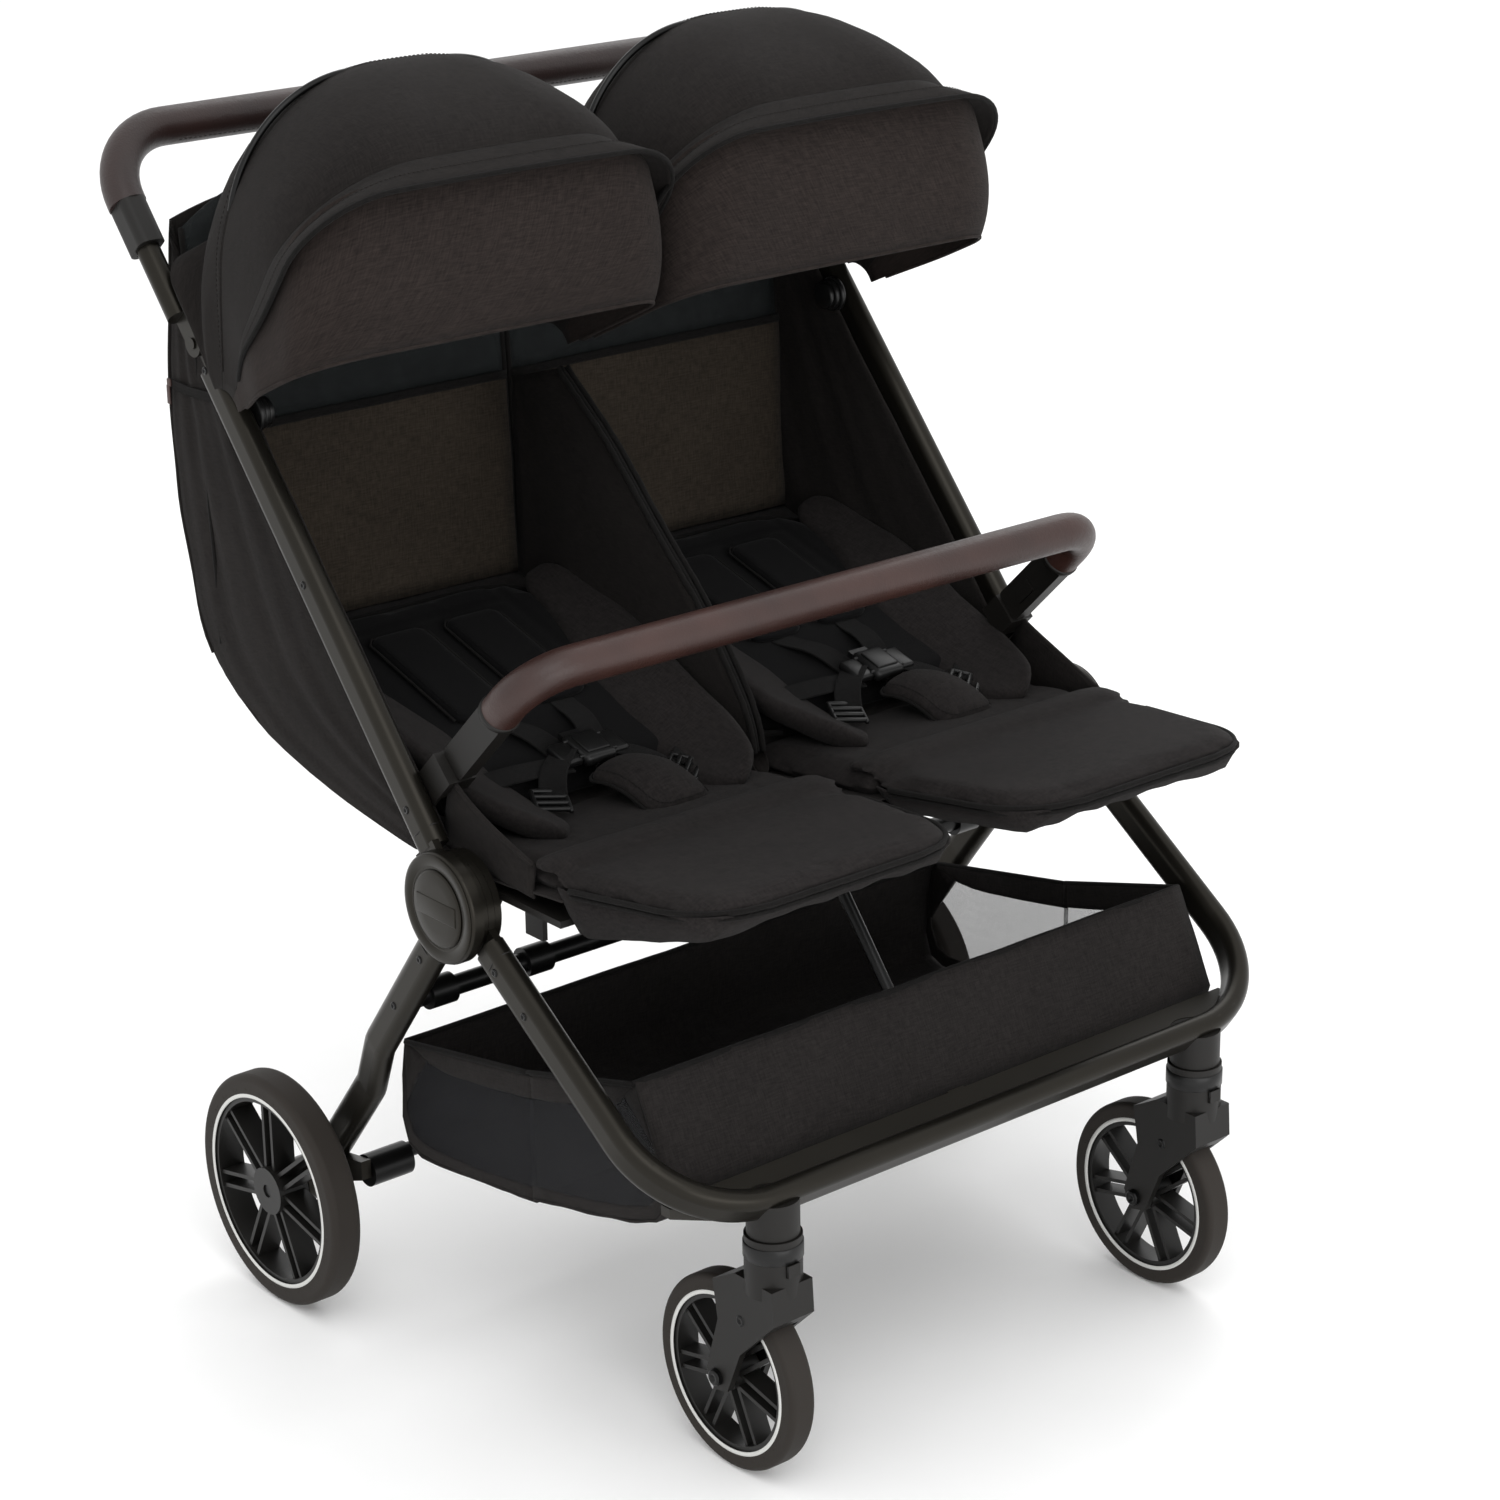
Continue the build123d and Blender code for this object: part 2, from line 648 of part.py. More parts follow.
def main():
    os.makedirs("parts", exist_ok=True)
    front_tube = front_frame()
    front_legs = front_tube + lug(front_angle, 1) + mirrored(lug(front_angle, 1))
    save(front_legs, "front_frame_tube")
    save(tray(front_tube), "footboard")
    save(pair(caster_socket(front_tube)), "caster_sockets")
    save(pair(hub_pin()), "hub_pins")
    save(centre_strut(), "centre_strut")
    save(basket_front(), "basket_front")

    legs = rear_leg() + lug(rear_leg_angle, 0)
    legs = Compound(children=[legs, mirrored(legs)])
    save(legs, "rear_legs")
    save(rear_cross_tube(legs), "rear_cross_tube")
    save(brake_bar(legs), "brake_bar")
    save(brake_pedal(), "brake_pedal")
    save(pair(rear_axle()), "rear_axles")
    save(basket_rear(), "basket_rear")

    for name, centre, size in (
            ("rear", (-rear_wheel_x, rear_axle_y, rear_tyre_radius),
             (rear_tyre_radius, rear_tyre_width, rear_rim_radius, 22, rear_axle_radius)),
            ("front", (-caster_x, caster_y + caster_trail, front_tyre_radius),
             (front_tyre_radius, front_tyre_width, front_rim_radius, 15, front_axle_radius))):
        radius, width, rim_radius, hub_radius, axle_radius = size
        place = Pos(*centre)
        save_sides(place * tyre(radius, width, rim_radius), name + "_tyre")
        save_sides(place * rim(rim_radius, width, hub_radius, axle_radius + running_gap), name + "_rim")

    for name, shape in (("caster_fork", caster_fork()), ("caster_axle", caster_axle()),
                        ("swivel_lock", swivel_lock())):
        save_sides(Pos(-caster_x, 0, 0) * shape, name)

    save(pair(seat_tube() + lug(seat_angle, 2)), "seat_tubes")
    save(pair(hub_cover()), "hub_covers")
    save(pair(side_wall()), "side_walls")
    save(seat_divider(), "seat_divider")
    save_sides(rear_panel(), "rear_panel")
    save(pair(bumper_receiver()), "bumper_receivers")

    loop = handle_loop(handle_core_radius, fold_reach + joint_clear)
    core = handle_tube(loop)
    grip = handle_loop(grip_radius, sleeve_start + sleeve_length + 0.05) - loop - fold_button_pocket()
    save(core, "handle_tube")
    save(grip, "handle_grip")
    save(pair(handle_sleeve(loop)), "handle_sleeves")
    save(fold_button(), "fold_button")

    save(bumper_loop(), "bumper_bar")
    save(pair(bumper_adapter()), "bumper_adapters")
    save_sides(bumper_button(), "bumper_button")

    save(seat_board(), "seat_board")
    save(pair(seat_pad()), "seat_pads")
    save(pair(crotch_pad()), "crotch_pads")
    save_sides(backrest(), "backrest")
    save_sides(harness(), "harness")
    save_sides(buckle_button(), "buckle_button")
    save_sides(footrest(), "footrest")

    middle = (mid_bow_angle + rear_bow_angle) / 2
    front_middle = (brim_angle + mid_bow_angle) / 2
    save_sides(canopy_gore([rear_bow_angle, middle, mid_bow_angle - 0.2]), "canopy_rear")
    save_sides(canopy_gore([mid_bow_angle + 0.2, front_middle, brim_angle - 0.2]), "canopy_middle")
    save_sides(canopy_bow(mid_bow_angle + 1.5), "canopy_bow")
    save_sides(canopy_gore([brim_angle, (brim_angle + visor_angle) / 2, visor_angle]), "canopy_visor")


main()
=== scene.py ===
import json
from math import cos, exp, pi, radians, sin, sqrt

import bmesh
import bpy
from mathutils import Matrix, Vector, noise


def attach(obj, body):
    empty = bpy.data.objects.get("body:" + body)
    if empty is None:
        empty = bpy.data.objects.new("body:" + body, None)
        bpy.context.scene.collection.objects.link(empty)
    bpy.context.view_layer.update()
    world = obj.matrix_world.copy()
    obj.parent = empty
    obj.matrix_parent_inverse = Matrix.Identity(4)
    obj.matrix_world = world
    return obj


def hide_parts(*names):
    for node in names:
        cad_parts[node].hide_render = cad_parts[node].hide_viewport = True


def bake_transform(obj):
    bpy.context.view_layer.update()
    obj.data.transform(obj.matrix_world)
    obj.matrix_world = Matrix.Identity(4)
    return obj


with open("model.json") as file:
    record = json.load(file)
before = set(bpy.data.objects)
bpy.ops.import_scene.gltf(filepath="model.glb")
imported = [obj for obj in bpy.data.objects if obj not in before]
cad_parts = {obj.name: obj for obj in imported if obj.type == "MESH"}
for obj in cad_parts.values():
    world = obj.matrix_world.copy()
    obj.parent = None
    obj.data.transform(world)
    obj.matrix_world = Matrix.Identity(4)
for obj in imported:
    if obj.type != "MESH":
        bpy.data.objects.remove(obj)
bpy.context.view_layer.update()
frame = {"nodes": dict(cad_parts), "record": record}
scene = bpy.context.scene

MM = 0.001
PUFF_FRAMES = 20
SIDES = (("left", -1), ("right", 1))


# ---------------------------------------------------------------- geometry of the frame, in mm
HUB = (-90.0, 456.0)
SEAT_ANGLE, FRONT_ANGLE = 49.6, 214.5
REAR_LEG_ANGLE = -53.2
TUBE_X, TUBE_FACE = 341.0, 350.5
COLLAR_END = 66.0
CANOPY_PIVOT = (206.0, 808.0)
CANOPY_MIDDLE, CANOPY_HALF = 181.25, 174.25
DIVIDER_LINE = [(495, -66), (520, -60), (549, -44), (618, 12), (670, 67), (738, 136), (792, 205)]
BACK_PIVOT, BACK_ANGLE = (-47.0, 499.6), 16.3
SEAT_MIDDLE = 165.0
CANOPY_CLOTH = 2.4
BACK_PAD, CROTCH_LENGTH, CROTCH_WIDTH = (312, 300), 74, 68
SHOULDERS, CHANNELS = (-40, 40), (-96, 96)
FOOT_HINGE, FOOT_RISE, FOOT_LENGTH = (-210.0, 500.0), 6.0, 168.0
REAR_WHEEL, FRONT_WHEEL = (370.0, 167.0, 108.0), (243.5, -321.0, 85.5)
CASTER_X, CASTER_Y = 243.5, -369.0
GRIP, BUMPER, BUMPER_ROOT = (391.5, 1021.8), (-160.0, 663.0), (-48.0, 551.6)


def polar(reach, angle, centre=HUB):
    a = radians(angle)
    return centre[0] + reach * cos(a), centre[1] + reach * sin(a)


def along_back(distance, height):
    a = radians(BACK_ANGLE)
    return (BACK_PIVOT[0] + distance * cos(a) - height * sin(a),
            BACK_PIVOT[1] + distance * sin(a) + height * cos(a))


def hump(t):
    """A smooth rise and fall between 0 and 1."""
    return sin(pi * t)


def steps(n):
    return [k / n for k in range(n + 1)]


def grid(n, m, point):
    """Rows of points, with t in n steps and s in m steps."""
    return [[point(t, s) for s in steps(m)] for t in steps(n)]


def smooth(t):
    t = max(0.0, min(1.0, t))
    return t * t * (3 - 2 * t)


def mix(a, b, t):
    return a + (b - a) * t


def spline(knots, at):
    """A smooth curve through (place, value) pairs."""
    n = len(knots)
    i = 0
    while i < n - 2 and at > knots[i + 1][0]:
        i += 1
    x0, y0 = knots[i]
    x1, y1 = knots[i + 1]
    before = knots[max(i - 1, 0)]
    after = knots[min(i + 2, n - 1)]
    m0 = (y1 - before[1]) / (x1 - before[0])
    m1 = (after[1] - y0) / (after[0] - x0)
    t = (at - x0) / (x1 - x0)
    w = x1 - x0
    return ((2 * t ** 3 - 3 * t ** 2 + 1) * y0 + (t ** 3 - 2 * t ** 2 + t) * w * m0
            + (3 * t ** 2 - 2 * t ** 3) * y1 + (t ** 3 - t ** 2) * w * m1)


# ---------------------------------------------------------------- materials
class Nodes:
    """A material's node tree, with short ways to add and join nodes."""

    def __init__(self, name, color, roughness, metallic=0.0, specular=0.5, sheen=0.0, sheen_roughness=0.5,
                 coat=0.0):
        self.material = bpy.data.materials.new(name)
        self.material.use_nodes = True
        self.tree = self.material.node_tree
        self.shader = self.tree.nodes["Principled BSDF"]
        self.set(self.shader, "Base Color", (*color, 1))
        self.set(self.shader, "Roughness", roughness)
        self.set(self.shader, "Metallic", metallic)
        self.set(self.shader, "Specular IOR Level", specular)
        self.set(self.shader, "Sheen Weight", sheen)
        self.set(self.shader, "Sheen Roughness", sheen_roughness)
        self.set(self.shader, "Coat Weight", coat)

    def set(self, node, socket, value):
        if isinstance(value, bpy.types.NodeSocket):
            self.tree.links.new(value, node.inputs[socket])
        else:
            node.inputs[socket].default_value = value

    def add(self, kind, out=0, **values):
        node = self.tree.nodes.new(kind)
        for key, value in values.items():
            name = key.replace("_", " ")
            if name in node.inputs:
                self.set(node, name, value)
            else:
                setattr(node, key, value)
        return node.outputs[out]

    def math(self, operation, a, b):
        node = self.tree.nodes.new("ShaderNodeMath")
        node.operation = operation
        self.set(node, 0, a)
        self.set(node, 1, b)
        return node.outputs[0]

    def coords(self, scale, source="Object"):
        place = self.add("ShaderNodeTexCoord")
        node = self.tree.nodes.new("ShaderNodeMapping")
        self.tree.links.new(place.node.outputs[source], node.inputs["Vector"])
        node.inputs["Scale"].default_value = scale
        return node.outputs[0]

    def ramp(self, value, low, high, color_low, color_high):
        node = self.tree.nodes.new("ShaderNodeValToRGB")
        self.tree.links.new(value, node.inputs["Fac"])
        first, last = node.color_ramp.elements
        first.position, last.position = low, high
        first.color, last.color = (*color_low, 1), (*color_high, 1)
        return node.outputs["Color"]

    def bump(self, height, strength, distance):
        node = self.tree.nodes.new("ShaderNodeBump")
        self.set(node, "Strength", strength)
        self.set(node, "Distance", distance)
        self.tree.links.new(height, node.inputs["Height"])
        self.tree.links.new(node.outputs["Normal"], self.shader.inputs["Normal"])


def noise_at(m, coords, scale, detail, roughness=0.5):
    return m.add("ShaderNodeTexNoise", Vector=coords, Scale=scale, Detail=detail, Roughness=roughness)


def woven(name, dark, light, slub=1.0, source="UV", sheen=0.02, bump=0.35, spread=(0.38, 0.62)):
    """Cloth with warp and weft threads and thicker slubs along both."""
    m = Nodes(name, dark, 0.9, specular=0.12, sheen=sheen, sheen_roughness=0.45)
    warp = noise_at(m, m.coords((700 / slub, 80 / slub, 300), source), 1.0, 3.0, 0.6)
    weft = noise_at(m, m.coords((80 / slub, 700 / slub, 300), source), 1.0, 3.0, 0.6)
    threads = m.math("MULTIPLY", m.math("ADD", warp, weft), 0.5)
    soft = noise_at(m, m.coords((9, 9, 9), source), 1.0, 2.0)
    level = m.math("ADD", m.math("MULTIPLY", threads, 0.85), m.math("MULTIPLY", soft, 0.15))
    m.set(m.shader, "Base Color", m.ramp(level, spread[0], spread[1], dark, light))
    across, along = (m.add("ShaderNodeTexWave", 1, Vector=m.coords((700, 700, 700), source), Scale=1.0,
                           bands_direction=direction, Distortion=0.6) for direction in "XY")
    height = m.math("ADD", m.math("MAXIMUM", across, along), m.math("MULTIPLY", threads, 1.6))
    m.bump(height, bump, 0.0006)
    return m.material


def netting(name, color, cell, open_share, closed, thread):
    """Open mesh cloth: threads with holes between them."""
    m = Nodes(name, color, 0.7, specular=0.3)
    hole = m.math("MINIMUM", *(m.add("ShaderNodeTexWave", 1, Vector=m.coords((cell, cell, cell), "UV"), Scale=1.0,
                                     bands_direction=direction) for direction in "XY"))
    solid = m.math("LESS_THAN", hole, open_share)
    tone = noise_at(m, m.coords((40, 40, 40), "UV"), 1.0, 3.0)
    m.set(m.shader, "Base Color", m.ramp(tone, 0.3, 0.7, tuple(0.7 * c for c in color), color))
    m.set(m.shader, "Alpha", m.math("ADD", m.math("MULTIPLY", solid, thread), closed))
    m.bump(hole, 0.4, 0.0005)
    return m.material


def leather(name, dark, light):
    m = Nodes(name, dark, 0.42, specular=0.45, coat=0.05)
    place = m.coords((1, 1, 1))
    grain = m.add("ShaderNodeTexVoronoi", Vector=place, Scale=620.0)
    creases = noise_at(m, place, 260.0, 4.0, 0.6)
    tone = noise_at(m, place, 14.0, 3.0)
    m.set(m.shader, "Base Color", m.ramp(tone, 0.3, 0.7, dark, light))
    m.set(m.shader, "Roughness", m.math("ADD", m.math("MULTIPLY", creases, 0.22), 0.34))
    m.bump(m.math("ADD", m.math("MULTIPLY", grain, 0.7), creases), 0.35, 0.0006)
    return m.material


def coated(name, color, roughness, metallic=0.0, grain=900.0, bump=0.12, variation=0.15):
    """Powder coat or moulded plastic: a fine texture with slow changes in gloss."""
    m = Nodes(name, color, roughness, metallic, specular=0.3)
    place = m.coords((1, 1, 1))
    slow = noise_at(m, place, 11.0, 3.0)
    fine = noise_at(m, place, grain, 2.0)
    light = tuple(min(1.0, c * (1 + variation)) for c in color)
    m.set(m.shader, "Base Color", m.ramp(slow, 0.3, 0.7, color, light))
    m.set(m.shader, "Roughness", m.math("ADD", m.math("MULTIPLY", slow, 0.12), roughness - 0.06))
    m.bump(fine, bump, 0.0003)
    return m.material


BLACK_CLOTH = woven("cloth_black", (0.0072, 0.0062, 0.0058), (0.0165, 0.0142, 0.0132))
VISOR_CLOTH = woven("cloth_visor", (0.0105, 0.0080, 0.0072), (0.027, 0.0205, 0.0182), slub=1.2)
PANEL_CLOTH = woven("cloth_panel", (0.0150, 0.0120, 0.0092), (0.058, 0.046, 0.034), slub=1.0, spread=(0.34, 0.74))
SEAT_CLOTH = woven("cloth_seat", (0.0010, 0.0010, 0.0012), (0.0024, 0.0023, 0.0025), slub=0.6, source="Object",
                   sheen=0.03, bump=0.2)
PAD_CLOTH = woven("cloth_pad", (0.0080, 0.0070, 0.0068), (0.0185, 0.0160, 0.0155), slub=1.0, source="Object")
WEBBING = woven("webbing", (0.0025, 0.0025, 0.0025), (0.0080, 0.0075, 0.0075), slub=0.5, source="Object", bump=0.6)
BASKET_CLOTH = woven("cloth_basket", (0.0095, 0.0084, 0.0080), (0.0210, 0.0185, 0.0176))
BINDING = woven("binding", (0.0035, 0.0034, 0.0031), (0.0090, 0.0080, 0.0077), slub=0.5, source="Object", bump=0.5)
THREAD = woven("thread", (0.0125, 0.0110, 0.0102), (0.025, 0.022, 0.020), slub=0.3, source="Object")
DARK_NET = netting("net_dark", (0.0085, 0.0112, 0.0118), 1500.0, 0.62, 0.22, 0.70)
SIDE_NET = netting("net_side", (0.0090, 0.0096, 0.0120), 1300.0, 0.6, 0.20, 0.32)
GRIP_LEATHER = leather("leather_grip", (0.0125, 0.0052, 0.0045), (0.023, 0.0098, 0.0082))
BAR_LEATHER = leather("leather_bar", (0.0235, 0.0088, 0.0066), (0.042, 0.0165, 0.0125))
FRAME_METAL = coated("metal_frame", (0.0195, 0.0176, 0.0142), 0.33, metallic=0.75, grain=1500.0, bump=0.08)
DARK_METAL = coated("metal_dark", (0.020, 0.020, 0.020), 0.32, metallic=0.9, grain=1200.0, bump=0.05)
PLASTIC = coated("plastic_black", (0.0062, 0.0055, 0.0047), 0.5, grain=1600.0, bump=0.18)
GLOSS = coated("plastic_gloss", (0.005, 0.005, 0.005), 0.36, grain=600.0, bump=0.02)
FOOT_RUBBER = coated("foot_rubber", (0.0185, 0.0166, 0.0132), 0.6, grain=1300.0, bump=0.25)
RIM_PLASTIC = coated("plastic_rim", (0.0070, 0.0066, 0.0060), 0.42, grain=1400.0, bump=0.12)
TYRE_FOAM = coated("tyre_foam", (0.0165, 0.0132, 0.0105), 0.74, grain=1300.0, bump=0.35, variation=0.25)
REFLECTIVE = coated("reflective_band", (0.56, 0.56, 0.54), 0.35, grain=1800.0, bump=0.2)
FLOOR = coated("floor", (0.96, 0.96, 0.958), 0.9, grain=60.0, bump=0.01, variation=0.02)

BY_SLOT = {"frame": FRAME_METAL, "dark_metal": DARK_METAL, "plastic": PLASTIC, "gloss": GLOSS, "tyre": TYRE_FOAM,
           "rim": RIM_PLASTIC, "leather": GRIP_LEATHER, "bar_leather": BAR_LEATHER, "fabric_black": BLACK_CLOTH,
           "fabric_melange": PAD_CLOTH, "fabric_seat": SEAT_CLOTH, "mesh": DARK_NET}


# ---------------------------------------------------------------- mesh builder
def ring_faces(rings, sides, closed=False):
    """The faces round a row of rings, with a cap on each end if it isn't closed."""
    faces = []
    for i in range(rings if closed else rings - 1):
        near, far = i * sides, (i + 1) % rings * sides
        for k in range(sides):
            k2 = (k + 1) % sides
            faces.append((near + k, near + k2, far + k2, far + k))
    if not closed:
        faces += [tuple(range(sides - 1, -1, -1)), tuple((rings - 1) * sides + k for k in range(sides))]
    return faces


class Shape:
    """Vertices in mm and faces of one piece, put together from sheets, tubes, blocks and turned forms."""

    def __init__(self):
        self.verts, self.faces, self.uvs = [], [], []

    def add(self, verts, faces, uvs=None):
        start = len(self.verts)
        self.verts += [tuple(v) for v in verts]
        self.faces += [tuple(start + i for i in f) for f in faces]
        self.uvs += list(uvs) if uvs else [((v[0] + v[1]) * MM, (v[2] + 0.3 * v[1]) * MM) for v in verts]
        return self

    def merge(self, other):
        return self.add(other.verts, other.faces, other.uvs)

    def sheet(self, rows, thick, flip=False):
        """A closed cloth shell; rows are rows of points on its outer side."""
        n, m = len(rows), len(rows[0])
        pts = [[Vector(p) for p in r] for r in rows]
        outer, inner, uvs = [], [], []
        for i in range(n):
            for j in range(m):
                a = pts[min(i + 1, n - 1)][j] - pts[max(i - 1, 0)][j]
                b = pts[i][min(j + 1, m - 1)] - pts[i][max(j - 1, 0)]
                normal = a.cross(b)
                normal = normal.normalized() if normal.length > 1e-9 else Vector((0, 0, 1))
                if flip:
                    normal = -normal
                outer.append(pts[i][j])
                inner.append(pts[i][j] - normal * thick)
        down = [0.0]
        middle = m // 2
        for i in range(1, n):
            down.append(down[-1] + (pts[i][middle] - pts[i - 1][middle]).length)
        for i in range(n):
            along = 0.0
            for j in range(m):
                if j:
                    along += (pts[i][j] - pts[i][j - 1]).length
                uvs.append((along * MM, down[i] * MM))
        faces = []
        total = n * m
        for i in range(n - 1):
            for j in range(m - 1):
                a, b, c, d = i * m + j, i * m + j + 1, (i + 1) * m + j + 1, (i + 1) * m + j
                faces.append((a, b, c, d))
                faces.append((total + d, total + c, total + b, total + a))
        rim = ([(0, j) for j in range(m - 1)] + [(i, m - 1) for i in range(n - 1)]
               + [(n - 1, j) for j in range(m - 1, 0, -1)] + [(i, 0) for i in range(n - 1, 0, -1)])
        for k, (i, j) in enumerate(rim):
            i2, j2 = rim[(k + 1) % len(rim)]
            a, b = i * m + j, i2 * m + j2
            faces.append((b, a, total + a, total + b))
        return self.add(outer + inner, faces, uvs + uvs)

    def tube(self, points, radius, sides=10, flat=1.0, normal=None):
        """A round or flattened bar along points. radius is a number or one per point."""
        pts = [Vector(p) for p in points]
        n = len(pts)
        radii = radius if isinstance(radius, (list, tuple)) else [radius] * n
        verts, uvs = [], []
        side = None
        run = 0.0
        for i in range(n):
            tangent = (pts[min(i + 1, n - 1)] - pts[max(i - 1, 0)]).normalized()
            if normal is not None:
                side = Vector(normal) - tangent * tangent.dot(Vector(normal))
            elif side is None:
                guess = Vector((0, 0, 1)) if abs(tangent.z) < 0.8 else Vector((1, 0, 0))
                side = guess - tangent * tangent.dot(guess)
            else:
                side = side - tangent * tangent.dot(side)
            side.normalize()
            other = tangent.cross(side)
            if i:
                run += (pts[i] - pts[i - 1]).length
            for k in range(sides):
                a = 2 * pi * k / sides
                verts.append(pts[i] + side * (radii[i] * flat * cos(a)) + other * (radii[i] * sin(a)))
                uvs.append((run * MM, radii[i] * a * MM))
        return self.add(verts, ring_faces(n, sides), uvs)

    def strap(self, points, width, thick, across=(1, 0, 0)):
        """A flat strap along points; across is its width's direction."""
        rows = []
        pts = [Vector(p) for p in points]
        for i, p in enumerate(pts):
            tangent = (pts[min(i + 1, len(pts) - 1)] - pts[max(i - 1, 0)]).normalized()
            wide = Vector(across) - tangent * tangent.dot(Vector(across))
            wide.normalize()
            up = tangent.cross(wide)
            rows.append([p + wide * (width * k) + up * (thick * lift)
                         for k, lift in ((-0.5, 0.3), (-0.44, 0.5), (-0.2, 0.42), (0, 0.5), (0.2, 0.42),
                                         (0.44, 0.5), (0.5, 0.3))])
        return self.sheet(rows, thick)

    def stitches(self, points, pitch=4.0, length=2.6, radius=0.35):
        """A row of short raised stitches along a line."""
        pts = [Vector(p) for p in points]
        run = [0.0]
        for a, b in zip(pts, pts[1:]):
            run.append(run[-1] + (b - a).length)

        def at(d):
            i = 0
            while i < len(run) - 2 and d > run[i + 1]:
                i += 1
            t = (d - run[i]) / max(run[i + 1] - run[i], 1e-9)
            return pts[i].lerp(pts[i + 1], max(0.0, min(1.0, t)))

        d = pitch / 2
        while d + length < run[-1]:
            a, b = at(d), at(d + length)
            self.tube([a, a.lerp(b, 0.5), b], [radius * 0.5, radius, radius * 0.5], sides=5)
            d += pitch
        return self

    def block(self, size, matrix, bevel=1.5, segments=3):
        """A block with rounded edges, of a size in mm, placed by a matrix whose place is in mm."""
        bm = bmesh.new()
        bmesh.ops.create_cube(bm, size=1.0)
        bmesh.ops.scale(bm, vec=size, verts=bm.verts)
        bevel = min(bevel, 0.49 * min(size))
        bmesh.ops.bevel(bm, geom=list(bm.edges), offset=bevel, segments=segments, profile=0.5, affect="EDGES",
                        clamp_overlap=True)
        bm.transform(matrix)
        bm.verts.index_update()
        self.add([v.co.copy() for v in bm.verts], [tuple(v.index for v in f.verts) for f in bm.faces])
        bm.free()
        return self

    def turned(self, profile, centre, axis, sides=48, closed=False):
        """A form turned about an axis; profile is (distance along the axis, radius) pairs."""
        axis = Vector(axis).normalized()
        guess = Vector((0, 0, 1)) if abs(axis.z) < 0.8 else Vector((1, 0, 0))
        u = (guess - axis * axis.dot(guess)).normalized()
        w = axis.cross(u)
        verts = []
        for along, radius in profile:
            for k in range(sides):
                a = 2 * pi * k / sides
                verts.append(Vector(centre) + axis * along + u * (radius * cos(a)) + w * (radius * sin(a)))
        return self.add(verts, ring_faces(len(profile), sides, closed))

    def mirrored(self):
        other = Shape()
        other.verts = [(-x, y, z) for x, y, z in self.verts]
        other.faces = [tuple(reversed(f)) for f in self.faces]
        other.uvs = list(self.uvs)
        return other

    def done(self, name, material, slot, body=None, replaces=()):
        mesh = bpy.data.meshes.new(name)
        mesh.from_pydata([(x * MM, y * MM, z * MM) for x, y, z in self.verts], [], self.faces)
        layer = mesh.uv_layers.new(name="UVMap")
        for loop in mesh.loops:
            layer.data[loop.index].uv = self.uvs[loop.vertex_index]
        bm = bmesh.new()
        bm.from_mesh(mesh)
        bmesh.ops.recalc_face_normals(bm, faces=bm.faces)
        bm.to_mesh(mesh)
        bm.free()
        mesh.polygons.foreach_set("use_smooth", [True] * len(mesh.polygons))
        mesh.materials.append(material)
        obj = bpy.data.objects.new(name, mesh)
        scene.collection.objects.link(obj)
        if body:
            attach(obj, body)
        if replaces:
            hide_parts(*replaces)
        return obj


def subdivide(obj):
    modifier = obj.modifiers.new("smooth", "SUBSURF")
    modifier.levels = modifier.render_levels = 1


def bake_modifiers(obj):
    """Puts the result of the object's modifiers into its mesh."""
    view = bpy.context.evaluated_depsgraph_get()
    mesh = bpy.data.meshes.new_from_object(obj.evaluated_get(view))
    obj.modifiers.clear()
    obj.data = mesh


def wobble(point, size, height, seed=0.0):
    """A small smooth uneven amount at a point, in mm."""
    return height * noise.noise(Vector(point) / size + Vector((seed, 0, 0)))


def puff(obj, cap):
    """Fills a pad with air for a few frames of cloth simulation, so that its faces crown
    by up to cap mm."""
    remesh = obj.modifiers.new("even", "REMESH")
    remesh.mode = "VOXEL"
    remesh.voxel_size = 0.005
    remesh.use_smooth_shade = True
    bake_modifiers(obj)
    start = [v.co.copy() for v in obj.data.vertices]
    cloth = obj.modifiers.new("air", "CLOTH")
    cloth.settings.use_pressure = True
    cloth.settings.uniform_pressure_force = 4.0
    cloth.settings.effector_weights.gravity = 0.0
    cloth.settings.quality = 4
    cloth.point_cache.frame_start, cloth.point_cache.frame_end = 1, PUFF_FRAMES
    for f in range(1, PUFF_FRAMES + 1):
        scene.frame_set(f)
    view = bpy.context.evaluated_depsgraph_get()
    shown = obj.evaluated_get(view).to_mesh()
    end = [v.co.copy() for v in shown.vertices]
    obj.evaluated_get(view).to_mesh_clear()
    obj.modifiers.clear()
    scene.frame_set(1)
    for v, a, b in zip(obj.data.vertices, start, end):
        move = b - a
        if move.length > cap * MM:
            move = move.normalized() * cap * MM
        v.co = a + move


def groove(obj, lines, width, depth, direction):
    """Presses sewn channels into a pad along lines of points in mm."""
    push = Vector(direction).normalized() * depth * MM
    lines = [[Vector(p) * MM for p in line] for line in lines]
    for v in obj.data.vertices:
        nearest = 1.0
        for line in lines:
            for a, b in zip(line, line[1:]):
                ab = b - a
                t = max(0.0, min(1.0, (v.co - a).dot(ab) / ab.length_squared))
                nearest = min(nearest, (v.co - a - ab * t).length)
        if nearest < width * MM:
            v.co -= push * (1 - smooth(nearest / (width * MM)))


